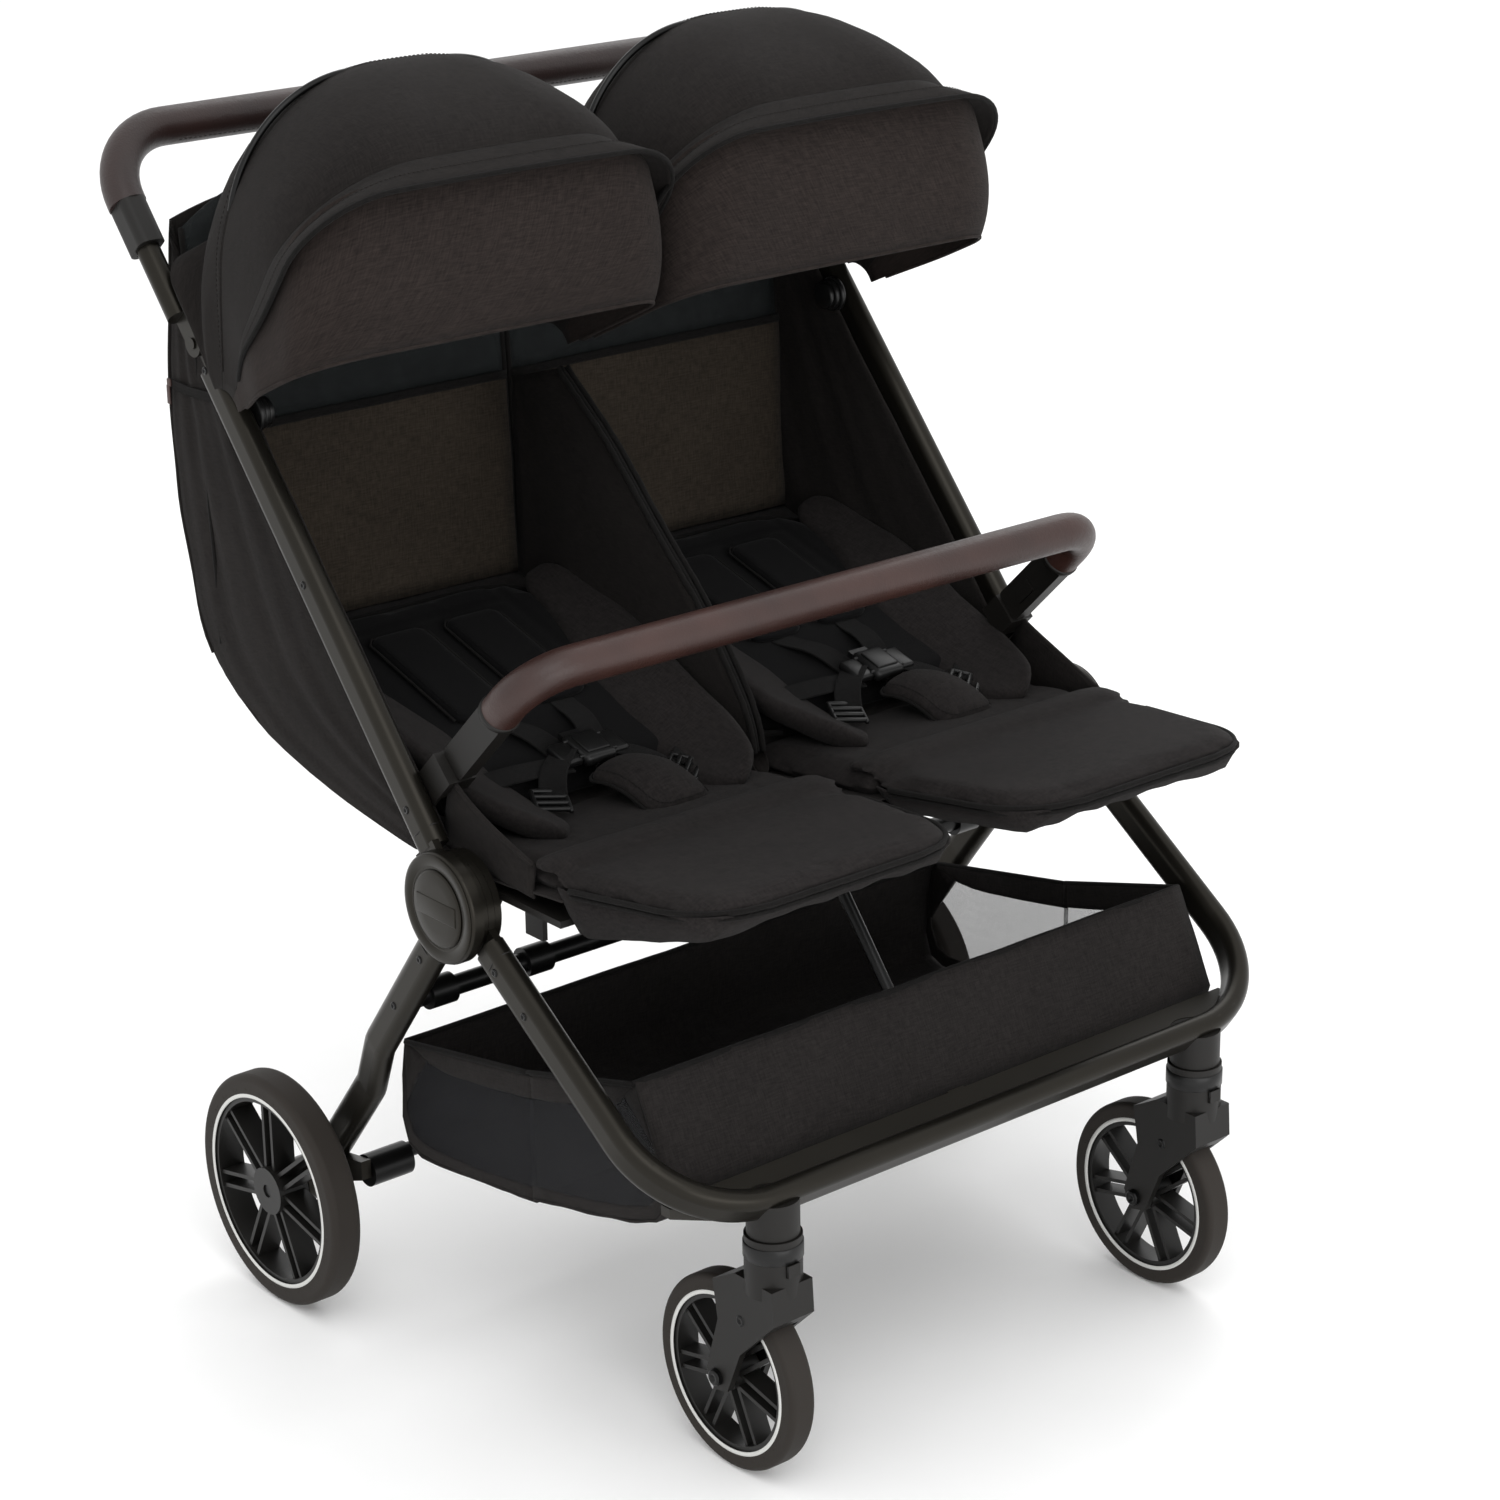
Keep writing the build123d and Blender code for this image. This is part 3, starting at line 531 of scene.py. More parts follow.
# ---------------------------------------------------------------- camera, floor and light
def make_camera():
    azimuth, elevation, roll = radians(39.7), radians(20.2), radians(-0.7)
    back = Vector((-sin(azimuth) * cos(elevation), -cos(azimuth) * cos(elevation),
                   sin(elevation)))
    level = Vector((cos(azimuth), -sin(azimuth), 0))
    raised = back.cross(level)
    right = level * cos(roll) + raised * sin(roll)
    up = raised * cos(roll) - level * sin(roll)
    camera = bpy.data.objects.new("camera", bpy.data.cameras.new("camera"))
    scene.collection.objects.link(camera)
    rotation = Matrix((right, up, back)).transposed()
    camera.matrix_world = Matrix.Translation((-1.926, -2.374, 1.605)) @ rotation.to_4x4()
    camera.data.sensor_width = 36.0
    camera.data.lens = 87.75
    camera.data.clip_end = 100.0
    scene.camera = camera


def area_light(name, place, target, size, power):
    light = bpy.data.lights.new(name, "AREA")
    light.shape = "RECTANGLE"
    light.size, light.size_y = size
    light.energy = power
    obj = bpy.data.objects.new(name, light)
    scene.collection.objects.link(obj)
    obj.location = place
    obj.rotation_euler = (Vector(target) - Vector(place)).to_track_quat("-Z", "Y").to_euler()


def make_studio():
    size = 30.0
    mesh = bpy.data.meshes.new("floor")
    cells = 6
    row = cells + 1
    points = [(-size + 2 * size * i / cells, -size + 2 * size * j / cells, -0.0006)
              for i in range(row) for j in range(row)]
    faces = [(i * row + j, (i + 1) * row + j, (i + 1) * row + j + 1, i * row + j + 1)
             for i in range(cells) for j in range(cells)]
    mesh.from_pydata(points, [], faces)
    mesh.materials.append(FLOOR)
    floor = bpy.data.objects.new("floor", mesh)
    scene.collection.objects.link(floor)
    world = bpy.data.worlds.new("studio")
    world.use_nodes = True
    sky = world.node_tree.nodes["Background"].inputs
    sky["Color"].default_value = (1, 1, 1, 1)
    sky["Strength"].default_value = 1.12
    scene.world = world
    area_light("key", (-1.5, -2.6, 3.8), (0, 0, 0.5), (2.6, 2.6), 40)
    area_light("front", (-0.4, -4.0, 1.2), (0, 0, 0.35), (3.2, 1.6), 38)
    area_light("rim", (2.4, 1.8, 3.4), (0, 0, 0.6), (2.4, 2.4), 26)
    scene.view_settings.view_transform = "Standard"
    scene.view_settings.look = "None"


# ---------------------------------------------------------------- canopies
RISES = [(56, 150), (62, 168), (78, 232), (94, 280), (111, 288), (129, 277), (155, 194)]
REAR, MID_BOW, BRIM, VISOR = 56.0, 94.0, 129.0, 155.0
ROOT = 26.0


def skin_corner(angle):
    return 152 - 50 * smooth((angle - MID_BOW) / (BRIM - MID_BOW))


def visor_corner(angle):
    return 66 - 18 * smooth((angle - BRIM) / (VISOR - BRIM))


def arch_point(side, angle, share, lift=0.0, forward=0.0, corner=None):
    """A point on the canopy's arch: share 0 is the inner foot, 1 the outer foot."""
    root = ROOT if angle >= 63 else mix(112, ROOT, (angle - REAR) / (63 - REAR))
    half = CANOPY_HALF + lift
    rise = (spline(RISES, angle) if angle <= BRIM else mix(277, 194, (angle - BRIM) / (VISOR - BRIM))) + lift
    corner = skin_corner(angle) if corner is None else corner
    corner = min(corner + lift, half - 12, rise - root - 12)
    t = share if share <= 0.5 else 1 - share
    if t < 0.2:
        u, r = -half, mix(root, rise - corner, t / 0.2)
    elif t < 0.38:
        a = pi / 2 * (t - 0.2) / 0.18
        u, r = -half + corner - corner * cos(a), rise - corner + corner * sin(a)
    else:
        u, r = mix(-half + corner, 0, (t - 0.38) / 0.12), rise
    crown = cos(pi * u / (2 * half)) if r > rise - corner else 0
    r += 5.0 * max(0.0, crown) * (1 if angle < BRIM + 1 else 0.3)
    if share > 0.5:
        flare = 24 * smooth((angle - 84) / (VISOR - 84)) * smooth((r - root) / 90)
        u = -u * (1 + flare / half)
    a = radians(angle)
    y = CANOPY_PIVOT[0] + r * cos(a) - forward * sin(a)
    z = CANOPY_PIVOT[1] + r * sin(a) + forward * cos(a)
    return side * (CANOPY_MIDDLE + u), y, z


def gore_rows(side, low, high, shares, belly, corner=None):
    """The rows of one cloth panel between two bows, which stands out by belly in its middle."""
    rows = []
    for t in steps(14):
        angle = mix(low, high, t)
        row = []
        for s in shares:
            taut = belly * hump(t) * hump(s) ** 0.7
            x, y, z = arch_point(side, angle, s, lift=taut, corner=corner and corner(angle))
            ripple = wobble((x, y, z), 34.0, 0.9 * hump(t), seed=side * 3.0)
            d = Vector((0, y - CANOPY_PIVOT[0], z - CANOPY_PIVOT[1])).normalized()
            row.append((x, y + d.y * ripple, z + d.z * ripple))
        rows.append(row)
    return rows


def canopy(name, side):
    shares = steps(64)

    def mid(angle):
        y, z = polar(200, angle, CANOPY_PIVOT)
        return (side * CANOPY_MIDDLE * MM, y * MM, z * MM)

    rear = Shape().sheet(gore_rows(side, REAR, MID_BOW, shares, 3.0), CANOPY_CLOTH, flip=side < 0)
    rear = rear.done("canopy_rear_skin_" + name, BLACK_CLOTH, "fabric_black", replaces=("canopy_rear_" + name,))
    mid(62)
    mid(MID_BOW)
    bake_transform(rear)
    middle = Shape().sheet(gore_rows(side, MID_BOW, BRIM, shares, 2.0), CANOPY_CLOTH, flip=side < 0)
    middle = middle.done("canopy_middle_skin_" + name, BLACK_CLOTH, "fabric_black",
                         replaces=("canopy_middle_" + name,))
    mid(MID_BOW)
    mid(BRIM)
    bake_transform(middle)

    # Binding over the middle bow, with a row of stitches on each side.
    inner = [s for s in shares if 0.02 <= s <= 0.98]
    seam = Shape()
    for angle in (MID_BOW - 1.6, MID_BOW + 1.6):
        seam.stitches([arch_point(side, angle, s, lift=1.1) for s in inner], 4.4, 2.9, 0.42)
    seam.done("canopy_seam_" + name, THREAD, "fabric_black", "canopy_mid_" + name)
    tape = Shape().sheet([[arch_point(side, MID_BOW + da, s, lift=lift) for s in inner]
                          for da, lift in ((-2.6, -0.4), (-2.2, 0.7), (0, 1.0), (2.2, 0.7), (2.6, -0.4))],
                         1.2, flip=side < 0)
    tape.done("canopy_tape_" + name, BLACK_CLOTH, "fabric_black", "canopy_mid_" + name)

    # The brim stands out over the visor as a soft lip with piping along its edge.
    rows = []
    for t in steps(8):
        row = []
        for s in inner:
            width = smooth(min(s, 1 - s) / 0.16)
            row.append(arch_point(side, BRIM - 3 + 2.4 * t, s, lift=0.6 + (12.0 * t - 1.5 * t * t) * width,
                                  forward=20 * t * width, corner=mix(skin_corner(BRIM), 62, smooth(t))))
        rows.append(row)
    lip = Shape().sheet(rows, 2.6, flip=side < 0)
    lip.done("canopy_brim_" + name, BLACK_CLOTH, "fabric_black", "canopy_front_" + name)
    edge = Shape().tube(rows[-1], 2.3, sides=8)
    edge.done("canopy_piping_" + name, BINDING, "fabric_black", "canopy_front_" + name)
    line = Shape().stitches([Vector(p) + Vector((0, 0, 0.6)) for p in rows[4]], 4.4, 2.9, 0.4)
    line.done("canopy_brim_seam_" + name, THREAD, "fabric_black", "canopy_front_" + name)

    rows = gore_rows(side, BRIM - 0.6, VISOR, shares, 4.0, visor_corner)
    visor = Shape().sheet(rows, CANOPY_CLOTH, flip=side < 0)
    visor.done("canopy_visor_skin_" + name, VISOR_CLOTH, "fabric_melange", "canopy_front_" + name,
               replaces=("canopy_visor_" + name,))
    hem = Shape().tube([arch_point(side, VISOR, s, lift=-1.0, corner=visor_corner(VISOR)) for s in inner], 2.0,
                       sides=8)
    hem.done("canopy_hem_" + name, VISOR_CLOTH, "fabric_melange", "canopy_front_" + name)


# ---------------------------------------------------------------- seat shell
BACK_LINE = [(472, -50), (477, 14), (492, 118), (522, 225), (574, 297), (640, 321), (720, 335), (812, 337), (889, 328),
             (957, 318), (985, 306)]


def side_wall(side):
    """The outer cloth of a seat, drawn between the seat tube and the back, with soft folds."""
    def point(t, s):
        front = polar(mix(58, 634, t), SEAT_ANGLE)
        z = mix(474, 574, (t / 0.3) ** 2.2) if t < 0.3 else mix(574, 957, (t - 0.3) / 0.7)
        y, z = mix(front[0], spline(BACK_LINE, z), s), mix(front[1], z, s)
        drawn = hump(s) * hump(min(1, 0.12 + 0.86 * t))
        fold = sin(7.5 * pi * s ** 1.4 + 1.8 * t) * (0.35 + 0.65 * s) * drawn
        fold += 0.5 * sin(13 * pi * s + 5 * t + 1.0) * drawn
        bulge = 326.4 + max(-0.8, 2.4 * drawn + 2.2 * fold + wobble((0, y, z), 46, 1.6, side))
        return side * min(bulge, 329.6), y, z
    return Shape().sheet(grid(44, 30, point), 2.6, flip=side > 0)


def back_cover():
    """The loose outer cloth behind both seats, up to the rear bows."""
    def point(t, s):
        x, z = mix(-327, 327, s), mix(572, 975, t)
        u = abs(abs(x) - CANOPY_MIDDLE) / 150
        top = z - (40 * max(0, u - 0.35) ** 1.6 * smooth((z - 880) / 95))
        y = spline(BACK_LINE, min(top, 984)) + 6 * hump(min(1, u)) - 5 * exp(-(x / 26) ** 2)
        y += 1.8 * sin(x / 21 + 3 * sin(z / 70)) * hump(t)
        return x, y + wobble((x, y, z), 50, 3.0, 9) * hump(t), top
    return Shape().sheet(grid(30, 70, point), 2.4, flip=True)


def sling(side):
    """The cloth under a backrest, which closes the seat between its two sides."""
    def point(t, s):
        x, v = mix(2.5, 324.5, s), mix(-10, 342, t)
        return side * x, *along_back(v, -15 - 7 * hump(s) * hump(t) + wobble((x, v, 0), 45, 2.0, side))
    return Shape().sheet(grid(24, 24, point), 2.2, flip=side < 0)


def seat_shell():
    walls = Shape()
    for name, side in SIDES:
        walls.merge(side_wall(side))
    walls.done("side_cloth", BLACK_CLOTH, "fabric_black", "seat_frame", replaces=("side_walls",))

    # The same cloth runs forward under each seat.
    for name, side in SIDES:
        def under(t, s):
            x, z = mix(12, 326, s), mix(475, 575, t ** 2.2)
            return (side * x, spline(BACK_LINE, z),
                    z + 2 - 7 * hump(x / 326) + wobble((x, z, 0), 40, 2.5, side))
        cloth = Shape().sheet(grid(18, 20, under), 2.2, flip=side > 0)
        cloth.done("under_cloth_" + name, BLACK_CLOTH, "fabric_black", "seat_frame")
    back_cover().done("back_cover", BLACK_CLOTH, "fabric_black", "seat_frame")
    for name, side in SIDES:
        sling(side).done("sling_" + name, BASKET_CLOTH, "fabric_black", "seat_frame")

    # Padded divider: two layers with a bound front edge that swells forward of the seat tubes.
    def edge_point(t):
        z = mix(497, 792, t)
        return spline(DIVIDER_LINE, z), z

    top = along_back(340, -18)
    divider = Shape()
    for sign in (-1, 1):
        def layer(t, s):
            front = edge_point(t)
            if t < 0.3:
                back = along_back(mix(-34, 340, t / 0.3), -18)
            else:
                back = mix(top[0], 279, min(1, (t - 0.3) / 0.1)), mix(top[1], 770, (t - 0.3) / 0.7)
            y, z = mix(front[0], back[0], s), mix(front[1], back[1], s)
            fat = 2.0 + 8.6 * sqrt(max(0.0, hump(min(1, 0.08 + 1.1 * s)))) * (0.55 + 0.45 * hump(min(1, 0.2 + t)))
            fat += wobble((sign * 40, y, z), 34, 1.6, 5) * hump(s)
            return sign * max(1.2, min(fat, 12.5)), y, z
        divider.merge(Shape().sheet(grid(34, 18, layer), 1.2, flip=sign > 0))
    divider = divider.done("divider_cloth", BLACK_CLOTH, "fabric_black", "seat_frame", replaces=("seat_divider",))
    pipe = Shape()
    for x, back in ((-5.2, 0), (5.2, 0), (0, 3)):
        pipe.tube([(x + wobble((x, 9 * i, 0), 3.0, 1.0), edge_point(i / 50)[0] + back - 1, edge_point(i / 50)[1])
                   for i in range(51)], 2.6, sides=8)
    pipe.done("divider_piping", BINDING, "fabric_black", "seat_frame")

    for name, side in SIDES:
        columns = [mix(325.5, 3.0, s) * side for s in steps(24)]

        def panel(z_low, z_high, count):
            rows = []
            for t in steps(count):
                z = mix(z_low, z_high, t)
                y = 280.6 + (z - 582) * 17 / 364
                rows.append([(x, y + 3 * hump(j / 24) + wobble((x, y, z), 60, 2.0, side), z)
                             for j, x in enumerate(columns)])
            return rows
        rows = panel(584, 771, 14)
        cloth = Shape().sheet(rows, 2.6, flip=side > 0)
        cloth.done("back_panel_" + name, PANEL_CLOTH, "fabric_melange", "seat_frame",
                   replaces=("rear_panel_" + name,))
        net_rows = panel(771, 900, 8)
        net_rows += [[(x, 296 + 5 * (t + 1), z_arch(x, side, t)) for x in columns] for t in (0.35, 0.7, 1.0)]
        net = Shape().sheet(net_rows, 0.9, flip=side > 0)
        net.done("back_net_" + name, DARK_NET, "mesh", "seat_frame")
        trim = Shape()
        trim.tube([Vector(p) + Vector((0, -2.4, 0)) for p in rows[-1]], 4.2, flat=0.5, normal=(0, 1, 0))
        for end in (0, -1):
            trim.tube([r[end] for r in rows + net_rows[1:]], 2.6, sides=8)
        trim.done("back_binding_" + name, BINDING, "fabric_black", "seat_frame")


def z_arch(x, side, t):
    """The back net's height where it rises to the rear bow."""
    u = abs(x - side * CANOPY_MIDDLE) / CANOPY_HALF
    top = 988 - 62 * max(0.0, u - 0.25) ** 2 / 0.5625
    return mix(900, top, t)


# ---------------------------------------------------------------- seats
def rounded_pad(length, width, corner, front_corner, rows=22):
    """A flat pad outline with rounded corners: (along, half width) for each row, from the hinge outwards."""
    result = []
    for i in range(rows + 1):
        v = length * i / rows
        half = width / 2
        if v < corner:
            half -= corner - sqrt(max(0, corner ** 2 - (corner - v) ** 2))
        if v > length - front_corner:
            d = v - (length - front_corner)
            half -= front_corner - sqrt(max(0, front_corner ** 2 - d ** 2))
        result.append((v, half))
    return result


def pad_shape(place, length, width, thick, corner, front_corner, across=22):
    """A closed pad with rounded edges. place(across, along, up) gives its points."""
    outline = rounded_pad(length, width, corner, front_corner)
    verts = []
    for v, half in outline:
        for k in range(2 * across):
            u = mix(-half, half, (k if k <= across else 2 * across - k) / across)
            edge = min(1.0, min(half - abs(u), v + 1.0, length - v + 1.0) / (thick * 0.6))
            up = thick / 2 * sqrt(max(0.02, 1 - (1 - max(0, edge)) ** 2))
            verts.append(place(u, v, up if k < across else -up))
    return Shape().add(verts, ring_faces(len(outline), 2 * across))


def pad_edge(place, length, width, corner, front_corner, up, grow=0.0, start=0.0):
    """The line round a pad's outline, from one side of the hinge round to the other."""
    outline = [(v, half) for v, half in rounded_pad(length, width, corner, front_corner, 44) if v >= start]
    right = [place(half + grow, v, up) for v, half in outline]
    left = [place(-half - grow, v, up) for v, half in reversed(outline)]
    return right + left


def mirror_object(obj, name):
    """The same pad on the other side of the stroller."""
    mesh = obj.data.copy()
    mesh.transform(Matrix.Scale(-1, 4, (1, 0, 0)))
    mesh.flip_normals()
    other = bpy.data.objects.new(name, mesh)
    scene.collection.objects.link(other)
    return other


def soften(obj):
    subdivide(obj)


def backrests():
    def place(u, v, up):
        return -SEAT_MIDDLE + u, *along_back(v, up)
    pad = pad_shape(place, *BACK_PAD, 17, 30, 60)
    pad = pad.done("back_pad_left", SEAT_CLOTH, "fabric_seat")
    puff(pad, 6.0)
    lines = [[place(x, v, 9) for v in range(30, 300, 12)] for x in CHANNELS]
    lines.append([place(x, 268, 9) for x in range(-96, 97, 12)])
    groove(pad, lines, 9.0, 3.0, Vector(place(0, 0, 1)) - Vector(place(0, 0, 0)))
    pads = {"left": pad, "right": mirror_object(pad, "back_pad_right")}
    for name, side in SIDES:
        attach(pads[name], "backrest_" + name)
        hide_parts("backrest_" + name)
        soften(pads[name])
        rim = Shape().tube(pad_edge(place, *BACK_PAD, 30, 60, 0, grow=1.5), 2.6, sides=8)
        rim = rim if side < 0 else rim.mirrored()
        rim.done("back_piping_" + name, BINDING, "fabric_black", "backrest_" + name)


def harness(name, side):
    body = "backrest_" + name

    def place(u, v, up):
        return side * SEAT_MIDDLE + u, *along_back(v, up)
    lean = Matrix.Rotation(radians(BACK_ANGLE), 4, "X")

    def at(u, v, up, size, bevel, spin=0.0):
        turn = lean @ Matrix.Rotation(radians(spin), 4, "Z")
        return size, Matrix.Translation(place(u, v, up)) @ turn, bevel

    pads = Shape()
    for u in SHOULDERS:
        pads.merge(pad_shape(lambda p, q, r: place(u + p, 106 + q, 18.5 + r), 146, 62, 9.5, 9, 9, across=12))
    pads = pads.done("shoulder_pads_" + name, SEAT_CLOTH, "fabric_seat", body, replaces=("harness_" + name,))
    soften(pads)
    seams = Shape()
    edge_line = ((-31, 8), (-31, 70), (-31, 138), (-24, 146), (24, 146), (31, 138), (31, 70), (31, 8))
    for u in SHOULDERS:
        seams.tube([place(u + p, 106 + q, 18.5) for p, q in edge_line], 1.3, sides=6)
        for edge in (-26, 26):
            seams.stitches([place(u + edge, v, 23.1) for v in range(114, 246, 6)], 4.2, 2.7, 0.4)
    seams.done("shoulder_pad_seams_" + name, BINDING, "fabric_seat", body)

    # Straps: from the pads to the buckle, two hanging ends, and the waist straps.
    straps = Shape()
    for u, end in ((-40, -10), (40, 24)):
        straps.strap([place(mix(end, u, t), mix(26, 110, t), 14.5 + 7 * hump(t) ** 2) for t in steps(14)], 24, 1.6)
    for (u0, u1), (v0, v1), (high, drop, rise), sway, count, width, across in (
            ((-18, -62), (28, -22), (27, 14, 5), 8, 12, 24, (0.9, -0.35, 0.2)),
            ((22, 72), (20, -30), (24, 11, 6), 0, 12, 22, (0.7, 0.7, 0.1)),
            ((-20, -128), (16, 30), (20, 8, 4), 0, 14, 22, (0, 0.94, 0.33)),
            ((74, 128), (-20, 26), (17, 5, 2), 0, 10, 22, (0.4, 0.9, 0.2))):
        straps.strap([place(mix(u0, u1, t) - sway * hump(t), mix(v0, v1, t), high - drop * t + rise * hump(t))
                      for t in steps(count)], width, 1.5, across=across)
    straps.done("harness_straps_" + name, WEBBING, "fabric_seat", body)

    hardware = Shape()
    # Buckle: two halves that meet under a pressed panel.
    hardware.block(*at(4, 22, 27, (34, 40, 12), 5.0))
    hardware.block(*at(4, 22, 33.4, (24, 26, 2.6), 1.2))
    hardware.block(*at(-22, 22, 26, (20, 30, 8), 3.0))
    hardware.block(*at(28, 22, 26, (18, 30, 8), 3.0))
    for v in (10, 34):
        hardware.block(*at(4, v, 29, (40, 3.4, 5), 1.4))
    # Ladder locks with three bars.
    for u, v, spin in ((-66, -20, -24), (72, -26, 40)):
        c, s = cos(radians(spin)), sin(radians(spin))
        for step in (-12, -3, 6, 14):
            hardware.block(*at(u - step * s, v + step * c, 18.4, (31, 4.6, 4.2), 1.6, spin))
        for edge in (-14.5, 14.5):
            hardware.block(*at(u + edge * c, v + edge * s, 18.0, (3.8, 32, 4.6), 1.6, spin))
    hardware.done("harness_hardware_" + name, GLOSS, "gloss", body)


def seats():
    slope = (508.0 - 492.0) / (-203.0 + 62.0)

    def place(u, v, up):
        y = -30.0 - v
        return (-SEAT_MIDDLE + u, y, 480.5 + slope * (y + 62.0) + up)
    pad = pad_shape(place, 172, 316, 20, 6, 6)
    pad = pad.done("seat_pad_left", PAD_CLOTH, "fabric_melange")
    puff(pad, 5.0)
    lines = [[place(x, v, 10) for v in range(30, 166, 12)] for x in CHANNELS]
    groove(pad, lines, 9.0, 2.6, (0, 0, 1))
    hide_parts("seat_pads")
    for item in (pad, mirror_object(pad, "seat_pad_right")):
        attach(item, "seat_base")
        soften(item)

    def under(t, s):
        x, y = -323 + 646 * s, mix(-12, -206, t)
        return x, y, 470.5 + slope * (y + 62.0) + wobble((x, y, 0), 40, 1.5, 3)
    cloth = Shape().sheet(grid(14, 50, under), 2.0, flip=True)
    cloth.done("seat_under_cloth", BASKET_CLOTH, "fabric_black", "seat_base")
    for name, side in SIDES:
        # Crotch pad: a folded flap on the crotch strap.
        def crotch(u, v, up):
            y = -58.0 - v
            return (side * SEAT_MIDDLE + 14 + u + 0.25 * v, y,
                    mix(524, 503, (v / CROTCH_LENGTH) ** 1.6) + 7 * hump(min(1, v / CROTCH_LENGTH))
                    + up - 0.009 * u * u)
        pad = pad_shape(crotch, CROTCH_LENGTH, CROTCH_WIDTH, 11, 10, 16, across=14)
        pad = pad.done("crotch_pad_" + name, PAD_CLOTH, "fabric_melange", "seat_base",
                       replaces=("crotch_pads",) if side < 0 else ())
        soften(pad)
        line = Shape().stitches(pad_edge(crotch, CROTCH_LENGTH, CROTCH_WIDTH - 12, 10, 16, 6.0), 4.0, 2.6, 0.4)
        line.tube(pad_edge(crotch, CROTCH_LENGTH, CROTCH_WIDTH, 10, 16, 0.0), 1.5, sides=6)
        line.done("crotch_pad_seam_" + name, BINDING, "fabric_melange", "seat_base")
        # Side flaps from the seat tubes down to the footrest's corners.
        def flap_point(t, s):
            return (side * (322 + 1.6 * sin(5 * s + 4 * t)), mix(mix(-58, -166, t), mix(-40, -168, t), s),
                    mix(mix(552, 506, t ** 0.8), mix(488, 478, t), s))
        rows = grid(12, 10, flap_point)
        flap = Shape().sheet(rows, 2.2, flip=side < 0)
        flap.tube([r[0] for r in rows], 2.2, sides=8)
        flap.done("seat_flap_" + name, BLACK_CLOTH, "fabric_black", "seat_base")
        # Long bolsters at each side of the seat, which run from the backrest on to the seat.
        for edge, label in ((-1, "a"), (1, "b")):
            def bolster(u, v, up, edge=edge):
                w = v - 80
                u *= mix(1.0, 0.46, smooth((w - 90) / 200)) * mix(0.66, 1.0, smooth((w + 84) / 90))
                up = up * mix(1.0, 0.5, smooth((w - 150) / 150)) + 0.46 * edge * u + 7 * smooth((w - 20) / 160)
                up += wobble((u, w, 40 * edge), 30, 2.0, side)
                y, z = along_back(max(w, -6), 14 + up)
                if w < -6:
                    y0, z0 = along_back(-6, 14 + up)
                    y, z = y0 + (w + 6), mix(z0, 505 + up, min(1, (-6 - w) / 40))
                middle = 96 + 14 * smooth((w + 80) / 120) + 30 * smooth((w - 40) / 220)
                return (side * SEAT_MIDDLE + edge * middle + u, y, z)
            soft = pad_shape(bolster, 372, 80, 24, 38, 20, across=14)
            soft = soft.done("seat_bolster_%s_%s" % (name, label), PAD_CLOTH, "fabric_melange")
            soften(soft)
            bend = [(0, y * MM, z * MM) for y, z in (along_back(-16, 0), along_back(22, 0))]
            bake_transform(soft)


def footrests():
    a = radians(FOOT_RISE)
    back, width, round_end = 56.0, 306, 52
    length = FOOT_LENGTH + back

    def place(u, v, up):
        w = v - back
        y = FOOT_HINGE[0] - w * cos(a) + up * sin(a)
        z = FOOT_HINGE[1] + w * sin(a) + up * cos(a)
        if w < 0:
            z = mix(z, 512.0 + 0.10 * w + up * 0.5, smooth(-w / 24))
        return -170.0 + u * mix(1.055, 0.925, smooth(v / length)), y, z
    pad = pad_shape(place, length, width, 15, 5, round_end)
    pad = pad.done("footrest_pad_left", PAD_CLOTH, "fabric_melange")
    puff(pad, 4.0)
    other = mirror_object(pad, "footrest_pad_right")

    # The loose cover under the board sags, most at its outer back corner.
    def cover_point(t, s):
        v = back - 6 + 166 * t
        reach = 150 - (round_end - sqrt(round_end ** 2 - max(0.0, v - length + round_end) ** 2))
        u = reach * (2 * s - 1)
        inside = reach - abs(u)
        sag = (15 + 24 * (1 - t) * (0.6 - u / 290)) * smooth((1.02 - t) / 0.16) * smooth(inside / 16)
        return place(u, v, -2 - 5 * smooth(inside / 12) * smooth((1.04 - t) / 0.1) - sag
                     + wobble((u, v, 0), 26, 3.0, 2) * smooth(inside / 30))

    for name, item, side in (("left", pad, -1), ("right", other, 1)):
        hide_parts("footrest_" + name)
        soften(item)
        edge = Shape()
        for up, inset, radius in ((0.5, -1.6, 2.6), (-4.5, -2.6, 2.0)):
            edge.tube(pad_edge(place, length, width, 5, 66, up, grow=inset, start=62), radius, sides=8)
        edge = edge if side < 0 else edge.mirrored()
        edge = edge.done("footrest_piping_" + name, BINDING, "fabric_black")
        for soft in (item, edge):
            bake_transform(soft)
        cover = Shape().sheet(grid(16, 36, cover_point), 1.8, flip=True)
        cover = cover if side < 0 else cover.mirrored()
        cover.done("footrest_cover_" + name, PAD_CLOTH, "fabric_melange", "footrest_" + name)


# ---------------------------------------------------------------- basket
def refine(profile, count):
    """The points of a line with count steps between each two."""
    return [(mix(a[0], b[0], k / count), mix(a[1], b[1], k / count))
            for a, b in zip(profile, profile[1:]) for k in range(count)] + [profile[-1]]


